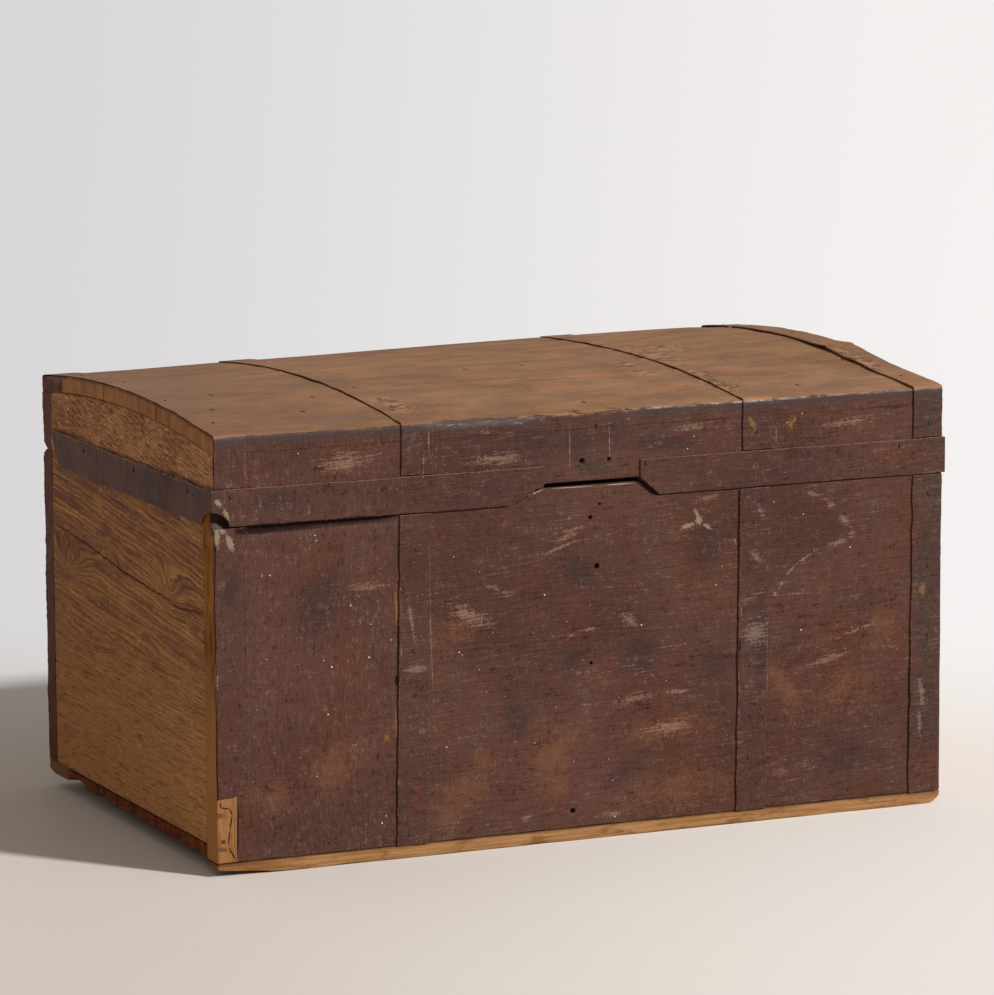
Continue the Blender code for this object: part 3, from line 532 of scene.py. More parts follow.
# %% Paint on the front
def oxblood(recipe, here, iron=0):
    """Colour, roughness and height of the dark paint, with the marks that lie here; iron 1 makes it greyer."""
    facing = recipe.y.step(FRONT_Y + 0.016, FRONT_Y + 0.01)

    def daubs(colour, *kinds):
        for marks, ragged, low, high, shade, strength in kinds:
            marks = [mark for mark in marks if here(mark[0] / 1e4, mark[1] / 1e4)]
            if marks:
                colour = recipe.daub(colour, recipe.inside(marks), ragged, low, high, chip(*shade), facing * strength)
        return colour

    clouds = recipe.noise((0.2, 0.2, 0.16), 1, 4)
    drift = recipe.noise(0.045, 2, 5, 0.6)
    mottle = recipe.noise(0.0075, 9, 4, 0.65)
    fleck = recipe.noise((0.0035, 0.0035, 0.012), 3, 3, 0.6)
    brush = recipe.noise((0.03, 0.03, 0.0024), 4, 3, 0.6, (0, -0.05, 0))
    tooth = recipe.noise(0.0022, 5, 3, 0.6)
    left = recipe.x.step(-0.2, -0.26)
    patchy = recipe.noise((0.07, 0.07, 0.055), 10, 4, 0.6).step(-0.12, 0.14)
    tone = fleck * (0.4 + left * 0.7) + brush * (1.1 - left * 0.6) + tooth * 1.1 + mottle * 0.9 + drift * 0.6
    colour = recipe.layers((87, 58, 49), FRONT, (99, 67, 56, clouds.step(-0.14, 0.14)),
        (80, 64, 61, drift.step(0, 0.22) * 0.4),
        (103, 60, 44, recipe.noise(0.08, 6, 4, 0.6).step(0, 0.18) * 0.45))
    if iron:
        colour = recipe.mix(colour, chip(82, 60, 54), iron)
    colour = daubs(colour, (CLOUD, drift * 2.4 + mottle * 1.4, -0.1, 0.9, (64, 50, 49), 0.62),
        (SLATE, drift * 2 + tooth, 0.05, 0.8, (76, 63, 56), 0.7),
        (RUSTY, drift * 2 + tooth, 0.05, 0.9, (104, 60, 46), 0.6))
    colour = recipe.layers(colour, FRONT, (56, 36, 32, tone.step(-0.05, -0.48) * (1 - patchy * 0.35)),
        (136, 104, 86, tone.step(0.06, 0.56) * (0.5 + patchy * 0.5)))
    rub = brush * 2.2 + tooth * 2
    colour = daubs(colour, (WARM, drift * 3.4 + tooth * 2.8 + mottle * 2.4, -0.5, 1.3, (126, 84, 58), 0.58),
        (RUBBED, rub + mottle, 0.2, 1.1, (160, 126, 104), 0.6),
        (STRAP_PALE if iron else (), rub, 0.1, 0.9, (146, 122, 108), 0.6),
        (BARE, tooth * 2.4 + drift * 1.6, 0, 0.9, (150, 108, 60), 0.75),
        (PALE, rub, 0, 0.9, (160, 122, 94), 0.75),
        (CREAM, tooth * 2 + drift * 1.2, 0, 0.5, (160, 138, 114), 0.8),
        # The next daub is painted highlight: pale lines on the tongue's arris.
        (PAINTED_HIGHLIGHTS, tooth * 1.5, 0, 0.7, (176, 166, 158), 0.8),
        # The next daub is painted shade: strap shadows and a dark nail hole.
        (PAINTED_SHADOW_MARKS, tooth, 0, 0.4, (34, 22, 20), 0.9),
        # The next daub is painted shade: the lip's shadow on the board below it.
        (PAINTED_LIP_SHADOW, tooth + drift, 0, 0.5, (44, 20, 16), 0.88))
    dots = recipe.noise(0.0015, 8, 0)
    colour = recipe.layers(colour, FRONT, (166, 138, 118, dots.step(0.29, 0.36) * 0.6),
        (38, 24, 21, dots.step(-0.29, -0.36) * 0.55),
        (34, 20, 17, recipe.attribute("dirt_and_shade") * 0.95))
    colour = recipe.mix(colour, chip(64, 35, 26, END), recipe.x.step(-0.444, -0.447) * (1 - facing) * 0.9)
    roughness = 0.5 + clouds * 0.3 + tooth * 0.3
    height = tone * (1 - 0.4 * iron)
    return colour, roughness, height


# %% [markdown]
# ## The worn top
# The lid's top has lost most of its dark coat: a warm tan brown with soft streaks where hands and cloths rubbed
# along it. Seen at this low angle the streaks are wider than they look. The number kept in `crown` tells how high a
# point lies over the front arris, so the dark paint ends there even where the warped lid has risen. Along that
# arris a pale line of painted highlight runs over a grey band of painted sheen, and near the middle the edge is
# flaky and tan.

# %% Paint on the lid
FLAKY = [(2580, 460, 300, 400, 0), (1990, -2000, 140, 500, 0), (2040, -1410, 200, 300, 0),
         (1500, -460, 200, 300, 0), (1430, -1100, 220, 260, 0), (2050, -200, 300, 600, 0),
         (-2000, -1900, 200, 500, 0), (4200, -1200, 140, 1000, 0)]
PITS = [(x, y, 32, 60, 0) for x, y in ((130, -2330), (390, -80), (-340, -100), (2170, 300), (-2700, -1200),
                                              (-3100, -1900), (-3720, -700), (2900, -2200), (-4020, -1500))]


def worn_top(recipe):
    """Colour, roughness and height of the rubbed paint on the lid's top."""
    sweep = recipe.noise((0.3, 0.11, 0.11), 11, 3)
    streak = recipe.noise((0.075, 0.03, 0.03), 12, 4, 0.6, (0, 0, 0.08))
    fleck = recipe.noise((0.016, 0.012, 0.012), 13, 3, 0.6)
    grit = recipe.noise((0.003, 0.006, 0.003), 14, 2, 0.6)
    tone = sweep * 1.2 + streak * 1.3 + fleck * 0.5 + grit * 0.5
    colour = recipe.layers((116, 82, 61), TOP, (154, 113, 84, tone.step(-0.45, 0.45)),
        (158, 104, 72, recipe.noise((0.09, 0.06, 0.06), 15, 4).step(0, 0.18) * 0.42),
        (114, 90, 74, recipe.noise((0.1, 0.05, 0.05), 16, 4).step(0, 0.2) * 0.55),
        (142, 108, 68, recipe.noise((0.07, 0.06, 0.06), 18, 4).step(0.02, 0.2) * 0.45),
        (110, 84, 68, recipe.x.step(-0.05, -0.47) * 0.45),
        (158, 108, 62, recipe.y.step(-0.215, -0.262) * fleck.step(-0.2, 0.1) * 0.08))
    flakes = recipe.inside(FLAKY, recipe.y)
    colour = recipe.daub(colour, flakes, fleck * 3 + grit * 1.5, 0.35, 0.8, chip(92, 62, 50, TOP), 0.75)
    colour = recipe.daub(colour, flakes, grit * 2 - fleck * 3, 0.4, 0.9, chip(176, 134, 98, TOP), 0.6)
    colour = recipe.daub(colour, recipe.inside(PITS, recipe.y), grit * 1.5, 0.1, 0.5, chip(52, 32, 24, TOP), 0.85)
    colour = recipe.mix(colour, chip(52, 34, 26, TOP), recipe.attribute("dirt_and_shade") * 0.9)
    roughness = 0.52 + streak * 0.3 + grit * 0.3
    height = streak * 0.6 + fleck * 0.6 + grit * 0.4
    return colour, roughness, height


def lid_coat(recipe, iron=0):
    """The front's paint below the arris and the worn top above it, with a painted highlight line and a grey band of
    painted sheen between.
    """
    low_colour, low_rough, low_height = oxblood(recipe, on_lid, iron)
    top_colour, top_rough, top_height = worn_top(recipe)
    wander = recipe.noise(0.03, 21, 4, 0.6)
    broken = recipe.noise((0.012, 0.012, 0.003), 22, 4, 0.7)
    flaky = recipe.x.step(-0.11, -0.08) * recipe.x.step(0.075, 0.045)
    crisp = recipe.x.step(0.05, 0.085)
    crown = recipe.attribute("crown") + wander * (0.004 + flaky * 0.006) + broken * (0.0006 + flaky * 0.008)
    high = crown.step(-0.0014, 0)
    # Painted sheen: a grey band just below the arris.
    band = crown.step(-0.015, -0.005) * (0.3 + crisp * 0.35 + recipe.x.step(-0.05, -0.09) * 0.4)
    band = band * recipe.y.step(0.1, 0)
    blunt = recipe.x.step(-0.21, -0.18) * recipe.x.step(-0.04, -0.09)
    scuffs = crown.step(-0.009, -0.005) * crown.step(-0.001, -0.004) * broken.step(0.02, 0.16) * blunt
    low_colour = recipe.layers(low_colour, FRONT, (80, 67, 64, band),
        (104, 90, 84, crown.step(-0.011, -0.006) * blunt * 0.6), (176, 166, 158, scuffs * 0.75))
    flakes = crown.step(-0.005, -0.0015) * crown.step(0.006, 0.001) * broken.step(-0.05, 0.12) * flaky
    # Painted highlight: a pale line along the arris, strongest towards the right, where the edge catches the sun.
    line = recipe.attribute("crown") + wander * 0.001
    rim = line.step(-0.003, -0.0014) * line.step(0.0004, -0.0008) * broken.step(-0.1, 0.16)
    rim = rim * (0.12 + crisp * (0.8 - recipe.x.step(0.24, 0.3) * 0.35))
    colour = recipe.layers(recipe.mix(low_colour, top_colour, high), FRONT, (158, 116, 82, flakes * 0.75),
        (188, 174, 166, rim * 0.85))
    roughness = low_rough + (top_rough - low_rough) * high - rim * 0.14 - band * 0.1
    height = low_height + (top_height - low_height) * high
    return colour, roughness, height


print("the top's paint starts at the arris,", round(ARRIS_Z * 1000, 1), "mm up")

# %% [markdown]
# ## Pine
# Pine shows its growth rings wherever it is cut: long lines and arches on a face, fine upright lines on an end. The
# long grain of the end boards is a field: the height, tilted more towards the top and pushed aside by five knots,
# divided by the width of a ring. What is left after the whole rings darkens slowly through each year and drops back
# at the next, as late wood does. Cut ends are simpler, a noise that is long upright and along the board.

# %% Bare pine
KNOTS = [(0.188, 0.283, 0.1, 0.036, 0.034), (0.06, 0.312, 0.07, 0.024, -0.02), (-0.135, 0.3, 0.08, 0.04, 0.03),
         (-0.06, 0.235, 0.11, 0.022, -0.012), (0.12, 0.2, 0.12, 0.02, 0.01)]


def long_grain(recipe):
    """The end boards' face, whose grain runs from front to back: rings, streaks along them and short dark flecks."""
    wobble = recipe.noise((0.2, 0.2, 0.03), 41, 3)
    ripple = recipe.noise((0.02, 0.026, 0.008), 42, 3)
    shimmer = recipe.noise((0.02, 0.003, 0.01), 44, 3, 0.6, (0.5, 0, 0))
    cloud = recipe.noise((0.1, 0.11, 0.05), 45, 4)
    grit = recipe.noise((0.0026, 0.0036, 0.0022), 46, 3, 0.6)
    high = recipe.z.step(0.1, 0.34)
    field = recipe.z - (high * 0.09 + 0.02) * recipe.y + wobble * (0.006 + high * 0.012) + ripple * 0.0035
    for y, z, long, wide, push in KNOTS:
        knot = recipe.spot((-END_X, y, z), (0.1, long, wide)).either(0)
        field = field + knot * knot * push
    broad = recipe.flow(recipe.y / 0.17, field / 0.017, 47)
    streak = recipe.flow(recipe.y / 0.13, field / 0.0052, 48, 4)
    fine = recipe.flow(recipe.y / 0.022, field / 0.0017, 49)
    year = (field / 0.0062).fract() ** 2
    colour = recipe.layers((112, 76, 46), END, (80, 50, 37, streak.step(0.1, -0.18) * (0.45 + high * 0.55)),
        (126, 86, 52, recipe.z.step(0.24, 0.02) * 0.5),
        (82, 48, 42, broad.step(0, 0.18) * (0.15 + high * 0.6)),
        (146, 98, 52, streak.step(0.06, 0.24) * (0.12 + high * 0.45)),
        (124, 86, 46, cloud.step(0.02, 0.22) * 0.5),
        (60, 36, 27, year * (0.16 + high * 0.5)),
        (60, 36, 25, fine.step(-0.02, -0.22) * (0.9 - high * 0.15)),
        (146, 104, 60, (fine + shimmer).step(0.08, 0.34) * 0.6),
        (54, 32, 22, grit.step(-0.05, -0.26) * 0.7),
        (28, 17, 12, recipe.attribute("dirt_and_shade") * 0.9))
    return recipe.finish(colour, 0.68 + fine * 0.2, fine * 0.7 + streak * 0.4 - year * 0.3, 0.0004)


def flecked_grain(recipe):
    """Colour, roughness and height of the gables: weathered wood with short dark flecks along the grain."""
    fleck = recipe.noise((0.02, 0.02, 0.0024), 51, 3, 0.65, (0.14, 0, 0))
    pore = recipe.noise((0.005, 0.006, 0.002), 52, 3, 0.7, (0.1, 0, 0))
    cloud = recipe.noise((0.06, 0.06, 0.03), 53, 4)
    colour = recipe.layers((98, 65, 43), END, (118, 80, 53, cloud.step(-0.15, 0.15)),
        (52, 31, 21, fleck.step(0.02, -0.18) * 0.82),
        (52, 32, 22, pore.step(-0.03, -0.22) * 0.7),
        (156, 114, 78, (fleck + pore).step(0.06, 0.32) * 0.85),
        (32, 19, 13, recipe.attribute("dirt_and_shade") * 0.9))
    return colour, 0.72 + pore * 0.2, fleck * 1 + pore * 0.8


def cut_grain(recipe, early, late, dark, seed, low=None):
    """Colour, roughness and height of a sawn end, whose lines stand upright; its low part may have its own shade."""
    lines = recipe.noise((0.16, 0.005, 0.05), seed, 4, 0.65)
    cloud = recipe.noise((0.05, 0.02, 0.06), seed + 1, 3)
    grit = recipe.noise(0.0022, seed + 2, 3, 0.6)
    colour = recipe.layers(early, END, (*late, (lines + cloud * 0.8).step(0.2, -0.26)))
    if low:
        colour = recipe.mix(colour, chip(*low, END), recipe.z.step(0.26, 0.16) * 0.8)
    colour = recipe.layers(colour, END, (*dark, grit.step(-0.04, -0.3) * 0.6),
        (*dark, recipe.attribute("dirt_and_shade") * 0.95))
    return colour, 0.7 + lines * 0.2, lines + grit * 0.6


def over_wood(recipe, paint, wood):
    """Paint where the cover holds, and wood where it doesn't: the given cut at the ends, plain long grain inside."""
    held = (recipe.attribute("cover") + recipe.noise(0.004, 7, 3, 0.6) * 0.9).step(0.38, 0.5)
    grain = recipe.noise((0.16, 0.009, 0.007), 62, 4, 0.6)
    plain = recipe.layers((150, 110, 73), FRONT, (108, 74, 48, grain.step(0.14, -0.22)))
    ends = (recipe.x * recipe.x).step((END_X - 0.006) ** 2, (END_X - 0.003) ** 2)
    colour = recipe.mix(recipe.mix(plain, wood[0], ends), paint[0], held)
    roughness = wood[1] + (paint[1] - wood[1]) * held
    height = wood[2] + (paint[2] + 0.6 - wood[2]) * held
    return recipe.finish(colour, roughness, height)


PATCH_SIDE, PATCH_TOP, PATCH_SLANT = -0.4262, 0.0905, 0.16


def board_finish():
    """The body's painted boards, with the bare patch under the broken strap at the bottom left corner."""
    recipe = Recipe("painted_boards")
    colour, roughness, height = oxblood(recipe, on_boards)
    grain = recipe.noise((0.003, 0.01, 0.03), 34, 3, 0.6)
    wobble = recipe.noise(0.006, 35, 3, 0.7) * 0.004
    patch = (PATCH_SIDE - recipe.x + wobble * 0.3).step(0, 0.0006)
    patch = patch * (PATCH_TOP + (recipe.x + 0.426) * PATCH_SLANT - recipe.z + wobble).step(0, 0.0008)
    tan = recipe.layers((166, 114, 70), FRONT, (126, 82, 50, grain.step(0.08, -0.2) * 0.7))
    # The dark lines are cracks, and one of them is painted shade along the patch's right edge.
    for marks, shade, strength in ((STAINS, chip(104, 72, 54), 0.8), (CRACKS_AND_EDGE_SHADOW, chip(40, 22, 14), 0.95)):
        tan = recipe.daub(tan, recipe.inside(marks), grain * 0.8, 0, 0.3, shade, strength)
    facing = recipe.y.step(FRONT_Y + 0.012, FRONT_Y + 0.006)
    colour = recipe.mix(colour, tan, patch * facing)
    wood = cut_grain(recipe, (104, 64, 30), (64, 36, 19), (40, 24, 16), 31, (108, 72, 40))
    return over_wood(recipe, (colour, roughness, height), wood)


def lid_finish():
    recipe = Recipe("painted_staves")
    wood = cut_grain(recipe, (112, 74, 46), (90, 57, 37), (46, 28, 20), 37)
    return over_wood(recipe, lid_coat(recipe), wood)


def gable_finish():
    recipe = Recipe("gable_pine")
    return over_wood(recipe, oxblood(recipe, on_lid), flecked_grain(recipe))


def plank_finish():
    """Red-brown ends; the rearmost one, which stands free at the corner, is bleached to an olive brown."""
    recipe = Recipe("plank_pine")
    colour, roughness, height = cut_grain(recipe, (82, 45, 29), (56, 30, 20), (32, 18, 13), 57)
    bleached = recipe.y.step(0.198, 0.216) * (0.75 + recipe.noise(0.01, 58, 3) * 0.6)
    return recipe.finish(recipe.mix(colour, chip(84, 64, 44, END), bleached), roughness, height)


board_coat = board_finish()
stave_coat = lid_finish()
gable_coat = gable_finish()
end_pine = long_grain(Recipe("end_board_pine"))
plank_pine = plank_finish()
print("finishes so far:", [material.name for material in bpy.data.materials if material.node_tree])

# %% [markdown]
# The runners are pale because nobody ever painted them: a tan wood with brown stains, and a dark line along the top
# that is painted shade under the front board.

# %% Runner pine
def runner_finish():
    recipe = Recipe("runner_pine")
    grain = recipe.noise((0.07, 0.003, 0.0024), 54, 3, 0.6)
    stain = recipe.noise((0.03, 0.02, 0.01), 55, 4, 0.6)
    grit = recipe.noise(0.0028, 56, 3, 0.6)
    colour = recipe.layers((150, 104, 64), FRONT, (182, 134, 86, grain.step(-0.18, 0.16)),
        (122, 76, 44, stain.step(0, 0.2) * 0.7),
        (92, 58, 38, grit.step(-0.06, -0.28) * 0.55),
        (118, 66, 34, recipe.x.step(-0.3, -0.44) * 0.45),
        (44, 26, 18, recipe.attribute("dirt_and_shade") * 0.85))
    return recipe.finish(colour, 0.66 + grain * 0.2, grain + grit * 0.5)


runner_pine = runner_finish()
print("runner finish:", runner_pine.name)

# %% [markdown]
# ## Iron
# The straps wear nearly the same paint as the boards, a little greyer, and it is rubbed off along their edges in a
# thin pale line, which is partly wear and partly painted highlight where the edges catch the light. On the ends of
# the chest the iron is a dark slate brown with a ragged pale upper edge, also partly wear and partly painted highlight.

# %% Iron
def painted_iron(name, here, paint):
    """A coat with a pale tan edge where the cover is worn, which also serves as painted highlight along the edges."""
    recipe = Recipe(name)
    colour, roughness, height = paint(recipe, here)
    # The pale tan edge is partly rubbed paint and partly painted highlight, where the edges catch the light.
    bare = (recipe.attribute("cover") + recipe.noise(0.006, 61, 4, 0.7) * 1.6).step(0.42, 0.16)
    colour = recipe.mix(colour, chip(152, 116, 98), bare * 0.75)
    return recipe.finish(colour, roughness - bare * 0.05, height - bare * 0.3, 0.0004)


def slate_finish():
    recipe = Recipe("slate_iron")
    cloud = recipe.noise(0.06, 66, 4, 0.6)
    drawn = recipe.noise((0.004, 0.004, 0.026), 67, 4, 0.6)
    grit = recipe.noise(0.0026, 68, 3, 0.6)
    colour = recipe.layers((50, 32, 26), END, (64, 44, 35, cloud.step(-0.16, 0.16)),
        (36, 22, 18, drawn.step(0, -0.24) * 0.6),
        (82, 52, 38, drawn.step(0.06, 0.26) * 0.5))
    # The ragged pale upper edge is partly worn paint and partly painted highlight.
    edge = (recipe.attribute("cover") + recipe.noise((0.009, 0.009, 0.002), 69, 4, 0.7) * 2.4).step(0.3, 0)
    colour = recipe.layers(colour, END, (106, 86, 72, edge * 0.55),
        (128, 112, 100, grit.step(0.2, 0.32) * 0.5))
    return recipe.finish(colour, 0.5 + grit * 0.3, grit + drawn * 0.6, 0.0004)


strap_iron = painted_iron("strap_iron", on_straps, lambda recipe, here: oxblood(recipe, here, 0.4))
lid_iron = painted_iron("lid_iron", on_lid, lambda recipe, here: lid_coat(recipe, 0.4))
slate_iron = slate_finish()
print("iron finishes:", strap_iron.name, lid_iron.name, slate_iron.name)

# %% [markdown]
# ## The front and back boards
# Each is one wide board. The front one stands proud of the iron lip's rebate only in the middle, as a tongue that
# fills the notch. The lattice lines are slid so that they follow the tongue's slanting sides and the rebate's edge;
# that keeps the step crisp with few points. Nail holes are dimples, with the lines drawn together around them. On
# the left the board has shrunk back under the lip, and behind the arch at the corner it is broken away.

# %% Front board
TONGUE_LEFT, TONGUE_RIGHT = -0.095, 0.079
TONGUE_LEFT_TOP, TONGUE_RIGHT_TOP = -0.06, 0.059
REBATE = 0.0014


def dimple(points, holes):
    """How open a hole is on a face that looks along y: 1 inside 0.75 of the radius, 0 outside it."""
    share = np.zeros(len(points))
    for first, second, radius in holes:
        away = np.hypot(points[:, 0] - first, points[:, 2] - second) / radius
        share = np.maximum(share, ramp(1.05 - away, 0.3))
    return share


def tongue_gap(x, z):
    """1 in the groove between the tongue's right side and the lip, which is drawn dark as painted shade."""
    side = np.interp(z, (LIP_LOW, BODY_TOP), (TONGUE_RIGHT, TONGUE_RIGHT_TOP))
    return ramp(x - side, 0.0006) * ramp(side + 0.012 - x, 0.002) * ramp(z - LIP_LOW + 0.001, 0.001)


def front_board():
    low, high = front_low, front_high
    holes = [(0.0025, 0.3678, 0.0022), (0.0104, 0.3121, 0.003), (0.0143, 0.3823, 0.0016), (-0.0202, 0.0343, 0.003),
             (0.003, 0.202, 0.0018)]
    edge = LIP_LOW - 0.0012
    fine_x = [(TONGUE_LEFT, 0.0004), (TONGUE_RIGHT, 0.0004), (-0.43, 0.001)] + [(x, r) for x, z, r in holes]
    fine_z = [(edge, 0.0004), (edge - 0.0042, 0.0008)] + [(z, r) for x, z, r in holes]
    points, quads = carve(low, high, (0.006, 0.012, 0.006), (0.002,) * 3, worn(0.0012, 0.05, 1), (fine_x, (), fine_z))
    paint = cover(points, low, high, ("y-",))
    x, y, z = points.T
    climb = ramp(z - edge, high[2] - edge)
    left = TONGUE_LEFT + (TONGUE_LEFT_TOP - TONGUE_LEFT) * climb
    right_side = TONGUE_RIGHT + (TONGUE_RIGHT_TOP - TONGUE_RIGHT) * climb
    inside = (x > TONGUE_LEFT - 1e-5) & (x < TONGUE_RIGHT + 1e-5)
    across = left + (x - TONGUE_LEFT) * (right_side - left) / (TONGUE_RIGHT - TONGUE_LEFT)
    outer = np.where(x < 0, stretch(x, low[0], TONGUE_LEFT, 0, left), stretch(x, 0, TONGUE_RIGHT, high[0], right_side))
    drop = 0.004 * ramp(-0.02 - x, 0.36)
    new_z = stretch(z, low[2], edge, high[2], edge - drop)
    tongue = ramp(x - TONGUE_LEFT, 0.0004) * ramp(TONGUE_RIGHT - x, 0.0004)
    step = ramp(z - edge, 0.0004) * (1 - tongue)
    shrunk = 0.0022 * smooth(-x, 0.232, 0.246) * smooth(new_z, 0.372, 0.3865)
    arch = smooth(-x, 0.4285, 0.431) * smooth(new_z, 0.3875, 0.3895)
    outside = ramp(high[1] - y, high[1] - low[1])
    sway = 0.0003 * swell(points, (0.22, 1, 0.09), 2, 0.8) + 0.00012 * waves(points, (0.05, 1, 0.014), 3)
    hollow = dimple(points, holes) * (outside > 0.9)
    y += outside * (REBATE * step + sway.clip(0, 1) + 0.005 * hollow + shrunk + 0.005 * arch)
    x[:], z[:] = np.where(inside, across, outer), new_z
    # Painted shade: the board's top face in the seam under the lid, the groove beside the tongue, the nail holes, the
    # recess behind the corner arch and a strip just below the lip on the left are drawn dark.
    painted_seam_shade = (y > low[1] + 0.0012) & (new_z > high[2] - 0.0008)
    gap = tongue_gap(x, new_z) * (outside > 0.5)
    painted_lip_shadow = 0.62 * smooth(-x, 0.225, 0.26) * smooth(new_z, edge - drop - 0.0052, edge - drop - 0.003)
    dirt_and_shade = np.maximum.reduce((hollow, 0.45 * arch * (outside > 0.6), 0.95 * painted_seam_shade, gap, painted_lip_shadow * (outside > 0.6)))
    make_piece("front_board", points, quads, board_coat, paint, dirt_and_shade)


front_board()

# %% [markdown]
# The back board is plain apart from its bevelled upper edge, half of the groove that the hinges turn in. Where a
# hinge leaf passes through the seam the edge dips by the leaf's thickness. The left ends of the back board and of
# the lid's back rail are dark with old paint, and gnawed to a ragged outline.

# %% Back board and back rail
GROOVE_HALF, GROOVE_DEPTH = 0.0065, 0.012
LEAF_DIP = 0.0028
hinge_middles = [sum(reach(f"hinge_{side}_pin"))[0] / 2 for side in ("left", "right")]
hinge_ends = [(middle + side * 0.0244, 0.0006) for middle in hinge_middles for side in (-1, 1)]


def hinge_dip(x):
    """1 along each hinge and 0 away from it."""
    return sum(ramp(0.025 - abs(x - middle), 0.0012) for middle in hinge_middles)


def gnawed(points, seed):
    """How far a ragged left end is bitten in, in metres: two sizes of waves, only within 4 mm of the end."""
    bite = 0.0005 * (1 + waves(points, (1, 0.02, 0.026), seed))
    bite += 0.0004 * (1 + waves(points, (1, 0.01, 0.006), seed + 1))
    return bite.clip(0, 0.003) * ramp(-points[:, 0] - END_X + 0.004, 0.004)


def old_paint(x, depth):
    """Dirt at the left end, most of it where the board is deepest."""
    return ramp(-x - END_X + 0.003, 0.003) * (0.25 + 0.5 * fade(depth, 0.003))


def back_board():
    low, high = back_low, back_high
    bevel = SEAM_Z - GROOVE_HALF
    points, quads = carve(low, high, (0.006, 0.01, 0.005), (0.002, 0.0016, 0.002), worn(0.001, 0.04, 4),
        (hinge_ends, (), [(bevel, 0.0004)]))
    paint = cover(points, low, high, ("y+", "x-"))
    x, y, z = points.T
    outside = (y - low[1]) / (high[1] - low[1])
    rise = ramp(z - bevel, high[2] - bevel)
    sway = 0.0003 * swell(points, (0.22, 1, 0.09), 5, 0.8)
    y[:] = y - outside * (GROOVE_DEPTH * rise + sway * (1 - rise))
    z[:] = z - LEAF_DIP * hinge_dip(x) * ramp(z - bevel + 0.006, 0.006)
    x += gnawed(points, 83)
    dirt_and_shade = old_paint(x, y - low[1])
    make_piece("back_board", points, quads, board_coat, paint, dirt_and_shade)


def back_rail():
    low, high = reach("lid_back_rail")
    top = low[2] + LID_SIDE_HEIGHT
    bevel = SEAM_Z + GROOVE_HALF
    points, quads = carve(low, (*high[:2], top), (0.006, 0.01, 0.005), (0.002, 0.0006, 0.0006), 0.0004,
        (hinge_ends, (), [(bevel, 0.0004)]))
    paint = cover(points, low, high, ("y+", "x-"))
    x, y, z = points.T
    outside = (y - low[1]) / (high[1] - low[1])
    fall = ramp(bevel - z, bevel - low[2])
    y[:] = y - outside * GROOVE_DEPTH * fall
    roof = dome(x, y, DOME_RADIUS) - 0.0001
    z[:] = z + (roof - top) * ramp(z - bevel, top - bevel)
    z += LEAF_DIP * hinge_dip(x) * ramp(bevel + 0.006 - z, 0.006)
    x += gnawed(points, 85)
    dirt_and_shade = old_paint(x, y - low[1])
    make_piece("lid_back_rail", points, quads, stave_coat, paint, dirt_and_shade)


back_board()
back_rail()

# %% [markdown]
# ## The end boards
# Bare pine, with a long shrinkage crack across the left one. The crack is a groove in the mesh: lattice lines are
# laid close together at one height and then slid up and down to follow its path.

# %% End boards
CRACK = np.array([(-0.24, 0.2885), (-0.2274, 0.288), (-0.1573, 0.2821), (-0.1174, 0.2881), (0.0025, 0.2952),
    (0.1361, 0.3105), (0.245, 0.319)])


def end_board(side):
    low, high = reach(f"{side}_end_board")
    middle = 0.3
    cracked = side == "left"
    points, quads = carve(low, high, (0.012, 0.005, 0.005), (0.0016, 0.0012, 0.0016), 0.001,
        ((), (), [(middle, 0.0009)] if cracked else ()))
    x, y, z = points.T
    outward, inward = outwards(x, low, high, cracked)
    sink = 0.00025 * swell(points, (1, 0.2, 0.05), 7, most=2.5)
    dirt_and_shade = 0.7 * fade(np.minimum(y - low[1], high[1] - y), 0.0016)
    if cracked:
        way = np.interp(y, *CRACK.T) + 0.0008 * waves(points * (0, 1, 0), 0.012, 8)
        open_share = np.interp(y, (-0.24, -0.2, -0.1, 0.1, 0.2, 0.245), (0.15, 0.5, 0.8, 1, 0.8, 0.3))
        groove = open_share * np.clip(1.15 - abs(z - middle) / 0.00085, 0, 1)
        sink = sink + 0.0035 * groove
        dirt_and_shade = np.maximum(dirt_and_shade, groove)
        z[:] = stretch(z, low[2], middle, high[2], way)
    x += outward * sink * inward
    make_piece(f"{side}_end_board", points, quads, end_pine, dirt_and_shade=dirt_and_shade)


end_board("left")
end_board("right")

# %% [markdown]
# ## The bottom
# The planks' ends show under the end boards as a rough, reddish, broken edge, so their end points are pushed in
# and out by waves a few millimetres long. Both runners are pale and worn thin towards their left ends.

# %% Planks and runners
BROKEN = np.array([(-0.24, 0.05), (-0.15, 0.1), (-0.06, 0.05), (0, 0.15), (0.06, 0.1), (0.095, 0.38), (0.112, 0.12),
    (0.145, 0.12), (0.158, 0.5), (0.198, 0.45), (0.212, 0.06), (0.262, 0.06), (0.273, 0.3)])


def plank(name, rough_ends):
    low, high = reach(name)
    points, quads = carve(low, high, (0.008, 0.004, 0.003), (0.004, 0.0012, 0.0024), 0.0022)
    x, y, z = points.T
    end = ramp(abs(x) - high[0] + 0.006, 0.006)
    bite = 0.0011 * (1 + waves(points, (1, 0.018, 0.006), 11) + 0.5 * waves(points, (1, 0.006, 0.003), 12)).clip(0, 3)
    x -= np.sign(x) * end * bite * rough_ends
    chipped = np.interp(y, *BROKEN.T) * ramp(-x - END_X + 0.016, 0.012)
    z[:] = high[2] - (high[2] - z) * (1 - chipped)
    z += 0.0002 * waves(points, (0.2, 0.05, 1), 13) * (z < high[2] - 0.004)
    z[:] = z.clip(low[2], high[2])
    # Painted shade: the top of each plank end, just under the end board, is drawn darker.
    dirt_and_shade = end * fade(high[2] - z, 0.003)
    make_piece(name, points, quads, plank_pine, dirt_and_shade=dirt_and_shade)


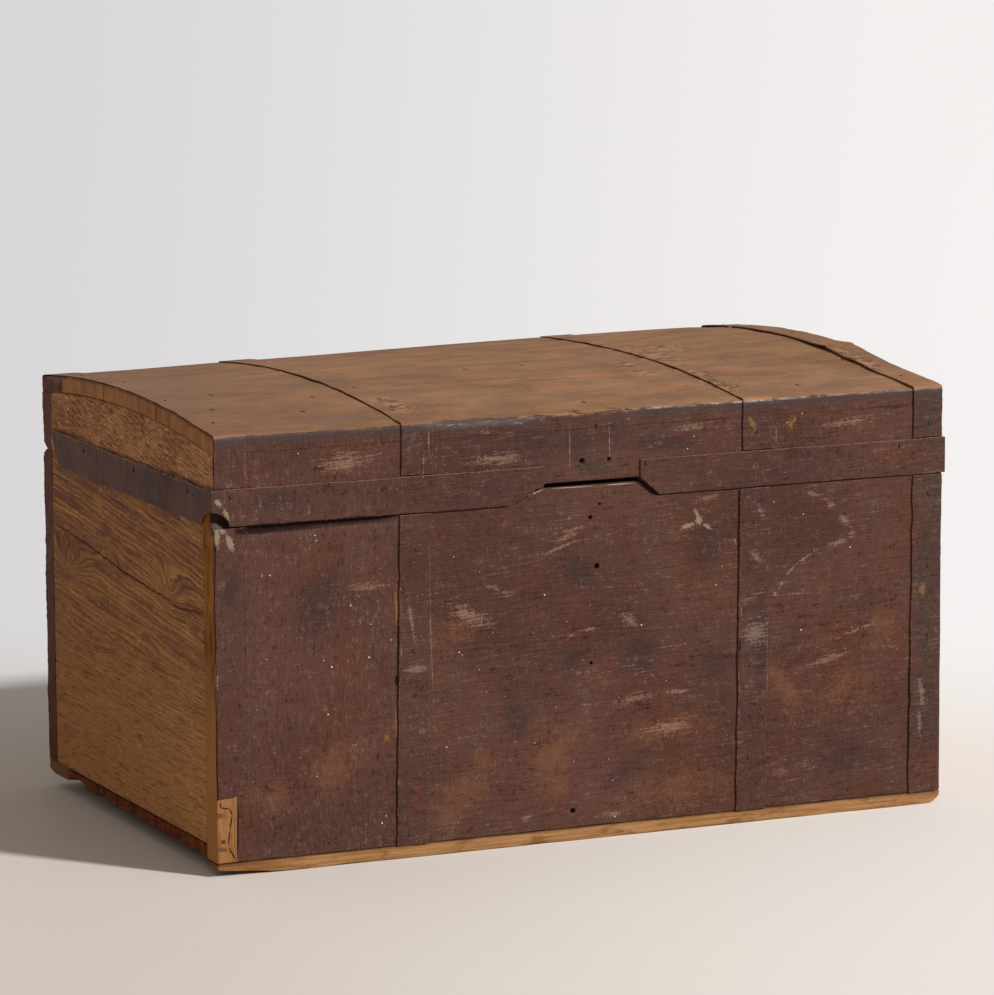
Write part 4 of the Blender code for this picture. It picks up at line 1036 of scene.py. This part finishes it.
def runner(name):
    low, high = reach(name)
    points, quads = carve(low, high, (0.006, 0.01, 0.005), (0.003, 0.002, 0.0016), 0.0014)
    x, y, z = points.T
    top = high[2]
    loss = 0.0075 * fade(x - low[0], 0.11) ** 1.6
    loss += 0.01 * fade(high[0] - x, 0.014) ** 2
    loss += 0.0005 * swell(points, (0.05, 1, 1), 14) * ramp(x - low[0], 0.02) * (x < 0.2)
    z[:] = top - (top - z) * (1 - loss / (top - low[2]))
    y += 0.0006 * waves(points, (0.06, 1, 0.02), 15) * ramp(low[1] + 0.004 - y, 0.004)
    y[:] = y.clip(low[1], high[1])
    # Painted shade: the runner's top, under the front board, is drawn darker.
    dirt_and_shade = fade(top - z, 0.0022)
    make_piece(name, points, quads, runner_pine, dirt_and_shade=dirt_and_shade)


for piece_name in ("bottom_plank_front", "bottom_plank_middle", "bottom_plank_rear"):
    plank(piece_name, 0.35 if piece_name.endswith("rear") else 1)
runner("front_runner")
runner("back_runner")

# %% [markdown]
# ## The lid's frame
# The gables are arched above and reach the front face, the rail between them has the hasp's slot in its lower edge,
# and the staves lie over all of them. Each is a lattice again, whose upper side is stretched to the dome's arc. The
# gables stand a little back under the staves, and the joint is also drawn dark as painted shade, so it shows as a
# dark line.

# %% Gables and front rail
def gable(side):
    low, high = reach(f"lid_{side}_gable")
    top = low[2] + LID_SIDE_HEIGHT
    points, quads = carve(low, (*high[:2], top), (0.01, 0.004, 0.0035), (0.0016, 0.0012, 0.0024), 0.0007)
    paint = cover(points, low, high, ("y-",))
    x, y, z = points.T
    outward, inward = outwards(x, low, high, side == "left")
    share = ramp(z - low[2], top - low[2])
    joint = 0.7 * fade(top - z, 0.0012)
    z[:] = low[2] + share * (dome(x, y, DOME_RADIUS) - 0.0002 - low[2])
    chipped = np.clip(waves(points, (1, 0.014, 0.01), 17) - 1.1, 0, 1) * share ** 6
    sink = 0.0003 * swell(points, (1, 0.05, 0.02), 16, most=2.5)
    sink += 0.0016 * chipped + 0.0008 * joint * (y > low[1] + 0.006)
    x += outward * sink * inward
    # Painted shade: the gable is drawn dark along its joint under the staves and in a line just above the lip; it is
    # also darker at its rear edge.
    painted_lip_shade = 0.9 * np.clip(1 - abs(z - LIP_TOP - 0.0006) / 0.003, 0, 1)
    rear = 0.8 * fade(high[1] - y, 0.002)
    dirt_and_shade = np.maximum.reduce((joint, painted_lip_shade, rear)) * (y > low[1] + 0.004)
    make_piece(f"lid_{side}_gable", points, quads, gable_coat, paint, dirt_and_shade)


def front_rail():
    low, high = rail_low, rail_high
    top = low[2] + LID_SIDE_HEIGHT
    slot = (-0.056, 0.067)
    holes = [(-0.0078, 0.4325, 0.003), (0.0256, 0.4325, 0.0022), (0.0096, 0.4708, 0.0018)]
    fine_x = [(end, 0.003) for end in slot] + [(x, r) for x, z, r in holes]
    fine_z = [(z, r) for x, z, r in holes if z < top]
    points, quads = carve(low, (*high[:2], top), (0.006, 0.01, 0.004), (0.001,) * 3, 0.0002, (fine_x, (), fine_z))
    paint = cover(points, low, high, ("y-",))
    x, y, z = points.T
    inner = ramp(x - slot[0], 0.003) * ramp(slot[1] - x, 0.003)
    share = ramp(z - low[2], top - low[2])
    bottom = low[2] + 0.0052 * inner ** 0.5
    z[:] = bottom + share * (dome(x, y, DOME_RADIUS) - 0.00005 - bottom)
    outside = ramp(high[1] - y, high[1] - low[1])
    sway = 0.00022 * swell(points, (0.16, 1, 0.05), 18, 0.8)
    hollow = dimple(points, holes) * (outside > 0.9)
    y += outside * (sway * (1 - share ** 4) + 0.005 * hollow)
    # Painted shade: the nail holes and the rail's lower edge over the hasp slot are drawn dark.
    dirt_and_shade = np.maximum(hollow, inner * fade(share, 0.03))
    make_piece("lid_front_rail", points, quads, stave_coat, paint, dirt_and_shade)


gable("left")
gable("right")
front_rail()

# %% [markdown]
# ## The staves
# Four staves make the dome. Under the paint their joints are closed along the top and show mostly on the ends, as
# dark lines in orange end grain. The outermost arrises are worn round and a little wavy.

# %% Staves
JOINT_CLOSING = 0.00028


def stave(number, count=4):
    name = f"lid_stave_{number}"
    low, high = reach(name)
    first, last = number == 1, number == count
    y_low = low[1] - (0 if first else JOINT_CLOSING)
    y_high = high[1] + (0 if last else JOINT_CLOSING)
    thick = STAVE_THICKNESS
    corner_low, corner_high = (low[0], y_low, 0), (high[0], y_high, thick)
    points, quads = block(ruler(low[0], high[0], 0.006, 0.0024), ruler(y_low, y_high, 0.005, 0.004),
                          ruler(0, thick, 0.004, 0.004))
    x, y, z = points.T
    outer = (first & (y < MIDDLE_Y)) | (last & (y > MIDDLE_Y))
    upper = z > thick / 2
    wear = 1 + 0.35 * waves(points, (0.07, 1, 1), 19 + number)
    arris = 0.0026 + 0.0012 * smooth(-x, -0.08, 0.02)
    plain = np.where(abs(x) > high[0] - 0.01, 0.001 * upper, 0) + 0.0002
    radius = np.where(outer & upper, arris * wear.clip(0.7, 1.4), plain)
    points = ease(points, corner_low, corner_high, radius[:, None])
    sides = ["z+"] + (["y-"] if first else []) + (["y+", "x-"] if last else [])
    paint = cover(points, corner_low, corner_high, sides, 0.0022)
    x, y, z = points.T
    end = ramp(abs(x) - high[0] + 0.0012, 0.0012)
    if not last:
        paint = paint * (1 - end * (z < thick - 0.001))
    beside = np.minimum(y - y_low if not first else y - y_low + 1, y_high - y if not last else y_high - y + 1)
    joint = fade(beside, 0.0016) * end
    soft = 0.75 * end * smooth(z, thick - 0.0046, thick - 0.0006)
    soft *= (0.6 + 0.4 * waves(points, (1, 0.02, 1), 90)).clip(0, 1)
    foot = 0.35 * end * fade(z, 0.001)
    dirt_and_shade = np.maximum.reduce((joint, soft, foot, 0.35 * end * last))
    under, over = dome(x, y, DOME_RADIUS), dome(x, y, OUTER_RADIUS)
    dent = 0.00035 * (waves(points, (0.2, 0.06, 1), 24 + number) - 1).clip(-3, 0)
    hollow = 0.0028 * smooth(-y, -FRONT_Y - 0.05, -FRONT_Y) * np.exp(-((x + 0.135) / 0.045) ** 4)
    dent -= first * (y < FRONT_Y + 0.05) * hollow
    z[:] = under + (z / thick) * (over - under + dent)
    if last:
        x += gnawed(points, 87)
    make_piece(name, points, quads, stave_coat, paint, dirt_and_shade)


for number in range(1, 5):
    stave(number)

# %% [markdown]
# ## The straps
# A strap is a thin bar carried along a path. The path is a list of corners with rounded bends, measured along its
# own length; the bar is a flat lattice whose long side becomes that length, and whose thickness points away from
# the wood. Old straps are never straight: their edges wander by up to a millimetre, and they lift a little in places.
# The one at the lid's right end has sprung and rumpled, most at its outer edge.

# %% Straps
def route(corners, step=0.001):
    """Points along straight runs and arcs: (y, z, radius) corners, each bend drawn as a quadratic curve."""
    corners = np.array(corners, float)
    run = [corners[0][:2]]
    for before, here, after in zip(corners, corners[1:], corners[2:]):
        radius = here[2]
        if radius == 0:
            run.append(here[:2])
            continue
        ways = [other[:2] - here[:2] for other in (before, after)]
        start, end = (here[:2] + way / np.linalg.norm(way) * radius for way in ways)
        t = np.linspace(0, 1, 9)[:, None]
        run.extend((1 - t) ** 2 * start + 2 * t * (1 - t) * here[:2] + t ** 2 * end)
    run = np.array(run + [corners[-1][:2]])
    length = np.concatenate(([0], np.cumsum(np.linalg.norm(np.diff(run, axis=0), axis=1))))
    even = np.arange(0, length[-1], step)
    return read_off(even, length, run), even


def read_off(s, along, path):
    """The path's values at s, where `along` holds the s of each of its points."""
    return np.stack([np.interp(s, along, values) for values in path.T], 1)


RUMPLE = np.array([(-2620, 0), (-1300, 2), (-1000, 6), (-770, 18), (-590, 30), (-528, 58), (-470, 40), (-340, 24),
    (-100, 5), (300, 4), (700, 6), (900, 0), (1740, 3), (2500, 3), (2730, 0)]) / 1e4


def rumple(side, across, y):
    """How far the right corner's lid strap stands off, from its left edge (-1) to its right (1)."""
    if side != "right_corner":
        return 0 * y
    return np.interp(y, *RUMPLE.T) * (0.74 + 0.26 * across)


def strap(name, path, along, middle, lean, seed, body, material, lift, thick, ragged_end=0, side=""):
    """A bar whose point (across, out, s) lies at path(s) + out * normal, with its edges wandering."""
    length, half = along[-1], STRAP_WIDTH / 2
    points, quads = carve((-half, 0, 0), (half, thick, length), (0.006, thick, 0.004), (0.0012, 0.0005, 0.0012), 0.0005)
    across, out, s = points.T
    rim = np.minimum(ramp(half - abs(across), 0.0016), ramp(np.minimum(s, length - s), 0.002))
    paint = (0.2 + 0.8 * rim) * (out > thick / 3)
    key = rows(np.sign(across) * 3 + seed, 0, s)
    wander = 0.00045 * waves(key, (1, 1, 0.03), seed) + 0.00025 * waves(key, (1, 1, 0.007), seed + 1)
    tip = ragged_end * (waves(rows(across), 0.01, seed + 2) + 0.6 * across / STRAP_WIDTH) * fade(s, 0.02)
    sprung = lift * (waves(rows(across, 0, s), (0.03, 1, 0.05), seed + 3) - 0.2).clip(0, 2.5)
    sprung += 0.00008 * swell(points, (0.02, 1, 0.02), seed + 4)
    place_y, place_z = read_off(s + tip, along, path).T
    run = np.gradient(path, axis=0)
    ahead_y, ahead_z = read_off(s, along, run / np.linalg.norm(run, axis=1, keepdims=True)).T
    if body == "lid" and side != "right_corner":
        out = out * (1 - 0.45 * smooth(place_y, FRONT_Y + 0.002, FRONT_Y + 0.02))
    out = out + sprung + rumple(side, 2 * across / STRAP_WIDTH, place_y)
    outline = wander * np.sign(across) * ramp(abs(across), STRAP_WIDTH / 2) ** 3
    new_x = middle + lean * (1 - s / length) + across + outline
    new_y, new_z = place_y - ahead_z * out, place_z + ahead_y * out
    if body == "lid":
        new_z += rear_lift(new_x, place_y) * ramp(place_z - 0.43, 0.055)
    new_y = new_y.clip(cad_box[0][1] + BOX_MARGIN, cad_box[1][1] - BOX_MARGIN)
    new_z = new_z.clip(0, cad_box[1][2] - BOX_MARGIN)
    make_piece(name, rows(new_x, new_y, new_z), quads, material, paint)


STRAP_WIDTH = 0.037
STRAP_THICKNESS = 0.0018
STUMP_Z = 0.0885
LEANS = {"left": -0.006, "right": -0.0045, "right_corner": -0.0035}
SIDES = ("left_corner", "left", "right", "right_corner")
for index, side in enumerate(SIDES):
    thick = STRAP_THICKNESS * (0.5 if side == "left_corner" else 1)
    for face, y, facing in (("front", FRONT_Y - GAP, 1), ("back", BACK_Y + GAP, -1)):
        low, high = reach(f"{face}_strap_{side}")
        broken = face == "front" and side == "left_corner"
        foot = STUMP_Z if broken else low[2]
        along = np.linspace(0, high[2] - foot, 400)
        path = np.stack((np.full(400, y), foot + along), 1)[::facing]
        lean = LEANS.get(side, 0)
        top_middle = (high[0] + low[0]) / 2 - lean / 2
        start, slant = (top_middle, lean) if facing > 0 else (top_middle + lean, -lean)
        strap(f"{face}_strap_{side}", path, along, start, slant, 100 + 10 * index + (facing < 0), "carcass", strap_iron,
              0.00012, thick, 0.004 if broken else 0)
    low, high = reach(f"lid_strap_{side}")
    crown = np.linspace(FRONT_Y, BACK_Y, 26)[1:-1]
    arc = [(y, DOME_CENTRE_Z + math.sqrt(OUTER_RADIUS ** 2 - (y - MIDDLE_Y) ** 2) + GAP, 0) for y in crown]
    corners = [(FRONT_Y - GAP, LIP_TOP + 0.0012, 0), (FRONT_Y - GAP, ARRIS_Z + GAP, 0.0026), *arc,
               (BACK_Y + GAP, ARRIS_Z + GAP, LID_ARRIS), (BACK_Y + GAP, SEAM_Z + GROOVE_HALF + 0.0045, 0)]
    path, along = route(corners)
    strap(f"lid_strap_{side}", path, along, (low[0] + high[0]) / 2, 0, 200 + 10 * index, "lid", lid_iron,
          {"right": 0.00035, "right_corner": 0.0005}.get(side, 0.00012), thick, side=side)

# %% [markdown]
# ## The iron lip
# The lip is one band in four plates. It is cut away at the notch in the middle of the front, arched over the front
# left corner, and slanted at its rear ends. A plate is a lattice again: its left and right ends and its lower and
# upper edges are curves, and the lines between them are shared out evenly.

# %% Lip
HAMMERED_AWAY = 0.0008
ARCH_RISE, ARCH_FRONT_REACH, ARCH_SIDE_REACH = 0.0173, 0.0215, 0.03
NOTCH_BEND_Z = 0.4096
LIP_SLANT = 0.03


def arch_rise(distance, reach):
    """How far the arch at the left corner lifts the lip's lower edge, at a distance from the corner."""
    return ARCH_RISE * np.sqrt(np.clip(1 - (distance / reach) ** 1.5, 0, 1))


def front_lip(side):
    low, high = reach(f"lip_front_{side}")
    left = side == "left"
    y_low = low[1] + HAMMERED_AWAY
    foot, shoulder = (-0.097, -0.055) if left else (0.088, 0.064)
    x_low, x_high = (low[0], foot) if left else (foot, high[0])
    arch = [(x_low + inward, 0.004) for inward in (0.012, 0.02)] if left else ()
    points, quads = carve((x_low, y_low, low[2]), (x_high, *high[1:]), (0.004, 0.002, 0.004), (0.0016, 0.0006, 0.0012),
        0.0006, (arch, (), [(NOTCH_BEND_Z, 0.0012)]))
    x, y, z = points.T
    edge = np.minimum(ramp(z - low[2], 0.0016), ramp(high[2] - z, 0.0014))
    least = 0.25 * (z <= 0.42)
    paint = (least + (1 - least) * edge) * (y < high[1] - 0.0006)
    inner = np.interp(z, (low[2], NOTCH_BEND_Z, high[2]), (foot, shoulder, shoulder))
    share = (x - x_low) / (x_high - x_low)
    new_x = x_low + share * (inner - x_low) if left else inner + share * (x_high - inner)
    line = rows(new_x)
    top = high[2] + 0.00035 * waves(line, 0.04, 71) + 0.00025 * waves(line, 0.008, 72) - 0.0006
    bottom = low[2] + 0.0004 * swell(line, 0.06, 73)
    if left:
        bottom = bottom + arch_rise(new_x - low[0], ARCH_FRONT_REACH)
    height_share = (z - low[2]) / (high[2] - low[2])
    z[:] = bottom + height_share * (top - bottom)
    x[:] = new_x
    y[:] = y + 0.0003 * swell(points, (0.1, 1, 0.05), 74) * ramp(high[1] - y, 0.002)
    make_piece(f"lip_front_{side}", points, quads, lid_iron, paint)


def end_lip(side):
    low, high = reach(f"lip_{side}_end")
    left = side == "left"
    (low if left else high)[0] += HAMMERED_AWAY * (1 if left else -1)
    points, quads = carve(low, high, (0.002, 0.003, 0.004), (0.0006, 0.0012, 0.0012), 0.0006)
    x, y, z = points.T
    paint = ramp(high[2] - z, 0.005)
    height_share = (z - low[2]) / (high[2] - low[2])
    new_y = low[1] + (y - low[1]) / (high[1] - low[1]) * (high[1] - LIP_SLANT * (1 - height_share) - low[1])
    line = rows(y=new_y)
    top = high[2] - 0.0009 + 0.0006 * waves(line, 0.03, 75) + 0.0005 * waves(line, 0.006, 76)
    bottom = low[2] + 0.0005 * swell(line, 0.05, 77)
    if left:
        bottom = bottom + arch_rise(new_y - low[1], ARCH_SIDE_REACH)
    y[:] = new_y
    z[:] = bottom + height_share * (top - bottom)
    out = ramp(high[0] - x if left else x - low[0], 0.002)
    x += out * 0.0003 * swell(points, (1, 0.08, 0.03), 78) * (1 if left else -1)
    make_piece(f"lip_{side}_end", points, quads, slate_iron, paint)


for side in ("left", "right"):
    front_lip(side)
    end_lip(side)

# %% [markdown]
# ## Nails
# Low hand-made heads, a few millimetres across, hold the straps. One head is a small dome turned about its axis,
# with a slightly uneven rim; all heads of one side are computed together as one array and make one mesh.

# %% Nail heads
HEAD_DEPTH = 0.0012


def heads(name, places, body, material, rise, rings=4, around=14):
    """Heads at rows of place, outward normal and radius: rim radius r(1 + unevenness), height a quarter circle."""
    draw = np.random.default_rng(len(places))
    spin = np.linspace(0, 2 * np.pi, around, endpoint=False)
    turn = np.linspace(0, np.pi / 2, rings + 1)[:-1, None]
    centres, normals, radii = np.split(np.array(places, float), (3, 6), axis=1)
    first = np.cross(np.where(abs(normals[:, :1]) > 0.9, (0, 1, 0), (1, 0, 0)), normals)
    first /= np.linalg.norm(first, axis=1, keepdims=True)
    uneven = 1 + sum(share * np.sin(lobes * spin + draw.uniform(0, 6, (len(places), 1)))
                     for share, lobes in ((0.07, 2), (0.05, 3)))
    flat = (np.cos(turn) * (radii * uneven)[:, None])[..., None]
    height = np.sin(turn)[..., None] * rise
    height[0] = -HEAD_DEPTH
    centre, normal, one, two = (ways[:, None, None] for ways in (centres, normals, first, np.cross(normals, first)))
    ring = centre + flat * (np.cos(spin)[:, None] * one + np.sin(spin)[:, None] * two) + height * normal
    poles = np.stack((centres + normals * rise, centres - normals * HEAD_DEPTH), 1)
    points = np.concatenate((ring.reshape(len(places), -1, 3), poles), 1).reshape(-1, 3)
    count = rings * around
    step = np.arange(around)
    after = (step + 1) % around
    quads = np.concatenate([np.stack((step, after, after + around, step + around), 1) + row * around
        for row in range(rings - 1)])
    top, foot = count - around + step, np.full(around, count + 1)
    caps = np.concatenate((np.stack((top, count - around + after, foot - 1), 1), np.stack((after, step, foot), 1)))
    base = (np.arange(len(places)) * (count + 2))[:, None, None]
    faces = [face for kind in (quads, caps) for face in (kind + base).reshape(-1, kind.shape[1]).tolist()]
    one_dirt = np.concatenate((np.repeat(np.linspace(1, 0.1, rings), around), (0, 1)))
    make_mesh(name, points, faces, material, body, dirt_and_shade=np.tile(one_dirt, len(places)))


def nail_finish():
    recipe = Recipe("nail_iron")
    grit = recipe.noise(0.0016, 81, 3, 0.7)
    colour = recipe.layers((72, 46, 40), FRONT, (104, 72, 62, grit.step(-0.16, 0.16)),
        (34, 21, 19, recipe.attribute("dirt_and_shade").step(0.35, 0.75) * 0.9))
    return recipe.finish(colour, 0.5 + grit * 0.3, grit, 0.0003)


nail_iron = nail_finish()
FORWARD, BACKWARD = (0, -1, 0), (0, 1, 0)


def on_front(y, *places):
    """Heads that look forward at that y, each from its x, z and radius in tenths of a millimetre."""
    return [(x / 1e4, y, z / 1e4, *FORWARD, radius / 1e4) for x, z, radius in places]


STRAP_FACE = FRONT_Y - 0.0024
front_nails = on_front(STRAP_FACE, (-2109, 3480, 24), (-2147, 2340, 28), (-2137, 1840, 24), (-2161, 1220, 24),
    (-2164, 760, 24), (-2210, 280, 24), (2077, 3480, 24), (2014, 2960, 24), (2025, 1840, 24),
    (2027, 1240, 24), (2007, 760, 26), (2046, 270, 22), (4320, 3650, 24), (4320, 2800, 22),
    (4320, 2000, 24), (4296, 1400, 24), (4257, 865, 24))
front_nails += on_front(FRONT_Y - 0.0012, (-4320, 3400, 22), (-4380, 2550, 22), (-4320, 1650, 22), (-4400, 1060, 22))
front_nails += on_front(FRONT_Y + 0.0003, (1040, 330, 24), (-1450, 270, 24), (-1550, 220, 18), (3315, 2120, 22),
    (-4430, 400, 30), (-3300, 250, 22), (3300, 260, 22))
lid_nails = on_front(STRAP_FACE, (-2026, 4400, 26), (2110, 4510, 24), (4327, 4465, 24))
lid_nails += on_front(FRONT_Y - GAP - 0.0021, (-4290, 4217, 28), (3938, 4236, 24), (716, 4248, 24), (-2500, 4180, 22))
for sign in (-1, 1):
    lid_nails += [(sign * (END_X + GAP + 0.0019), y, 0.4192, sign, 0, 0, 0.0024) for y in (-0.2, -0.032, 0.13)]
back_nails, BACK_FACE = [], BACK_Y + 0.0013
for side in SIDES:
    low, high = reach(f"lid_strap_{side}")
    middle = (low[0] + high[0]) / 2
    for index, y in enumerate((-0.215, -0.09, 0.06, 0.18, 0.245)):
        x = middle + 0.004 * math.sin(3 * index + 10 * middle)
        z = float(dome(x, y, OUTER_RADIUS) + rumple(side, (x - middle) * 2 / STRAP_WIDTH, np.array(y)))
        z += 0.002 if side == "right_corner" else 0.0012
        slope = float(dome(x, y + 0.001, OUTER_RADIUS) - dome(x, y - 0.001, OUTER_RADIUS)) / 0.002
        normal = np.array((0, -slope, 1)) / math.hypot(1, slope)
        lid_nails.append((x, y, z - 0.0003 * (side == "left_corner"), *normal, 0.0022))
    lid_nails.append((middle + 0.003, BACK_FACE, 0.445, *BACKWARD, 0.0024))
    low, high = reach(f"back_strap_{side}")
    middle = (low[0] + high[0]) / 2
    back_nails += [(middle + 0.003 * math.sin(40 * z), BACK_FACE, z, *BACKWARD, 0.0024)
                   for z in (0.055, 0.12, 0.19, 0.26, 0.325, 0.372)]
heads("front_nail_heads", front_nails, "carcass", nail_iron, 0.0006)
heads("back_nail_heads", back_nails, "carcass", nail_iron, 0.0007)
heads("lid_nail_heads", lid_nails, "lid", nail_iron, 0.0006)

# %% [markdown]
# ## Specks
# Whitewash has splashed onto the front. The function that makes the nail heads makes these specks too, as heads one
# to three millimetres across that hardly rise. Most are where they lie on the real chest; a random
# sprinkle of finer ones, clear of the two middle straps, lies between them.

# %% Specks of whitewash
def whitewash_finish():
    recipe = Recipe("whitewash")
    grit = recipe.noise(0.001, 82, 2)
    colour = recipe.layers((196, 184, 172), FRONT, (236, 226, 214, grit.step(-0.2, 0.2)))
    return recipe.finish(colour, 0.6 + grit * 0.2, grit, 0.0002)


body_specks = on_front(FRONT_Y, (-2894, 2909, 12), (-2414, 2484, 9), (-3223, 2320, 10), (-3127, 2240, 14),
    (-3176, 1710, 12), (-3318, 1028, 9), (-4384, 1166, 10), (-544, 2842, 14),
    (-1753, 1218, 12), (-673, 1167, 9), (1597, 2792, 10), (657, 2404, 14),
    (3311, 3097, 12), (-3943, 3319, 9), (-3294, 3660, 10), (2683, 2182, 14),
    (-1594, 2276, 12), (-1557, 2244, 9), (-2492, 504, 10), (-2541, 429, 14),
    (-1965, 1362, 12), (2332, 3689, 9), (2707, 3523, 10), (318, 229, 14),
    (-3845, 3319, 12), (-2650, 2680, 9), (-3310, 3720, 10), (-2680, 2310, 14))
lid_specks = on_front(FRONT_Y, (1235, 4374, 10), (1315, 4510, 10), (2686, 4684, 10), (2490, 4590, 10),
    (-3500, 4640, 10), (500, 4760, 10))
CLEAR_OF_STRAPS = 0.028
draw = np.random.default_rng(17)
scattered = np.stack((draw.uniform(-0.42, 0.4, 60), draw.uniform(0.04, 0.36, 60)), 1)
clear = (abs(scattered[:, :1] - STRAP_MIDDLES[1:3]) > CLEAR_OF_STRAPS).all(1)
body_specks += [(x, FRONT_Y, z, *FORWARD, size)
                for (x, z), size in zip(scattered[clear], draw.uniform(0.0004, 0.0008, 60))]
whitewash = whitewash_finish()
heads("body_whitewash_specks", body_specks, "carcass", whitewash, 0.00025, 2, 8)
heads("lid_whitewash_specks", lid_specks, "lid", whitewash, 0.00025, 2, 8)

# %% [markdown]
# ## The hinges
# The hinges keep their CAD shapes; they only get the finish of the nail heads, which is bare dark iron.

# %% Hinges
for node_name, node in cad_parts.items():
    if node_name.startswith("hinge_"):
        node.data.materials.clear()
        node.data.materials.append(nail_iron)
print("hinges finished")

# %% [markdown]
# ## Floor and light
# The chest was photographed on a pale painted floor in front of a white wall. One soft sun from the right and in
# front, low enough to throw a long shadow to the left, lights the front and the top, and a dim warm room fills the
# rest. The floor is a little brighter far away, where the wall stood, and it is drawn darker to the left of the
# camera's view and lighter to its right, a painted falloff of the light.

# %% Stage
def pale_floor():
    recipe = Recipe("pale_floor")
    fine = recipe.noise(0.012, 92, 3, 0.6)
    cloud = recipe.noise((0.5, 0.5, 0.5), 93, 3)
    cos, sin = math.cos(YAW), math.sin(YAW)
    side = recipe.x.scaled(cos, recipe.y.scaled(sin, -(EYE[0] * cos + EYE[1] * sin)))
    ahead = recipe.x.scaled(-sin, recipe.y.scaled(cos, EYE[0] * sin - EYE[1] * cos))
    # Painted light: the floor is drawn darker towards the left of the view and lighter towards the right, as the light
    # falls off.
    painted_light_falloff = (side / ahead).step(-0.11, 0.11)
    near = recipe.mix((0.59, 0.545, 0.515, 1), (0.785, 0.765, 0.745, 1), (side / ahead + cloud * 0.02).step(-0.1, 0.11))
    far = recipe.mix((0.635, 0.65, 0.7, 1), (0.85, 0.87, 0.91, 1), painted_light_falloff)
    colour = recipe.mix(near, far, (recipe.y + recipe.x * 0.6).step(-0.1, 1.4))
    return recipe.finish(colour, 0.55 + fine * 0.1, fine, 0.0002)


FLOOR_REACH = 24
floor_mesh = bpy.data.meshes.new("floor")
corners = [(FLOOR_REACH * x, FLOOR_REACH * y, 0) for x, y in ((-1, -1), (1, -1), (1, 1), (-1, 1))]
floor_mesh.from_pydata(corners, [], [(0, 1, 2, 3)])
floor_mesh.materials.append(pale_floor())
put("floor", floor_mesh)

world = bpy.data.worlds.new("dim_room")
world.use_nodes = True
room = world.node_tree.nodes["Background"].inputs
room["Color"].default_value, room["Strength"].default_value = (1, 0.9, 0.8, 1), 0.4
bpy.context.scene.world = world

SUN_WAY, SUN_HEIGHT = (0.62, -0.785), math.radians(32)
sunlight = bpy.data.lights.new("window", "SUN")
sunlight.energy, sunlight.angle, sunlight.color = 4.3, math.radians(5), (1, 0.985, 0.96)
back = np.array((SUN_WAY[0] * math.cos(SUN_HEIGHT), SUN_WAY[1] * math.cos(SUN_HEIGHT), math.sin(SUN_HEIGHT)))
beside = np.cross((0, 0, 1), back)
beside /= np.linalg.norm(beside)
put("window", sunlight).matrix_world = stand((beside, np.cross(back, beside), back))
bpy.context.scene.view_settings.view_transform = "Standard"
bpy.context.scene.view_settings.look = "None"
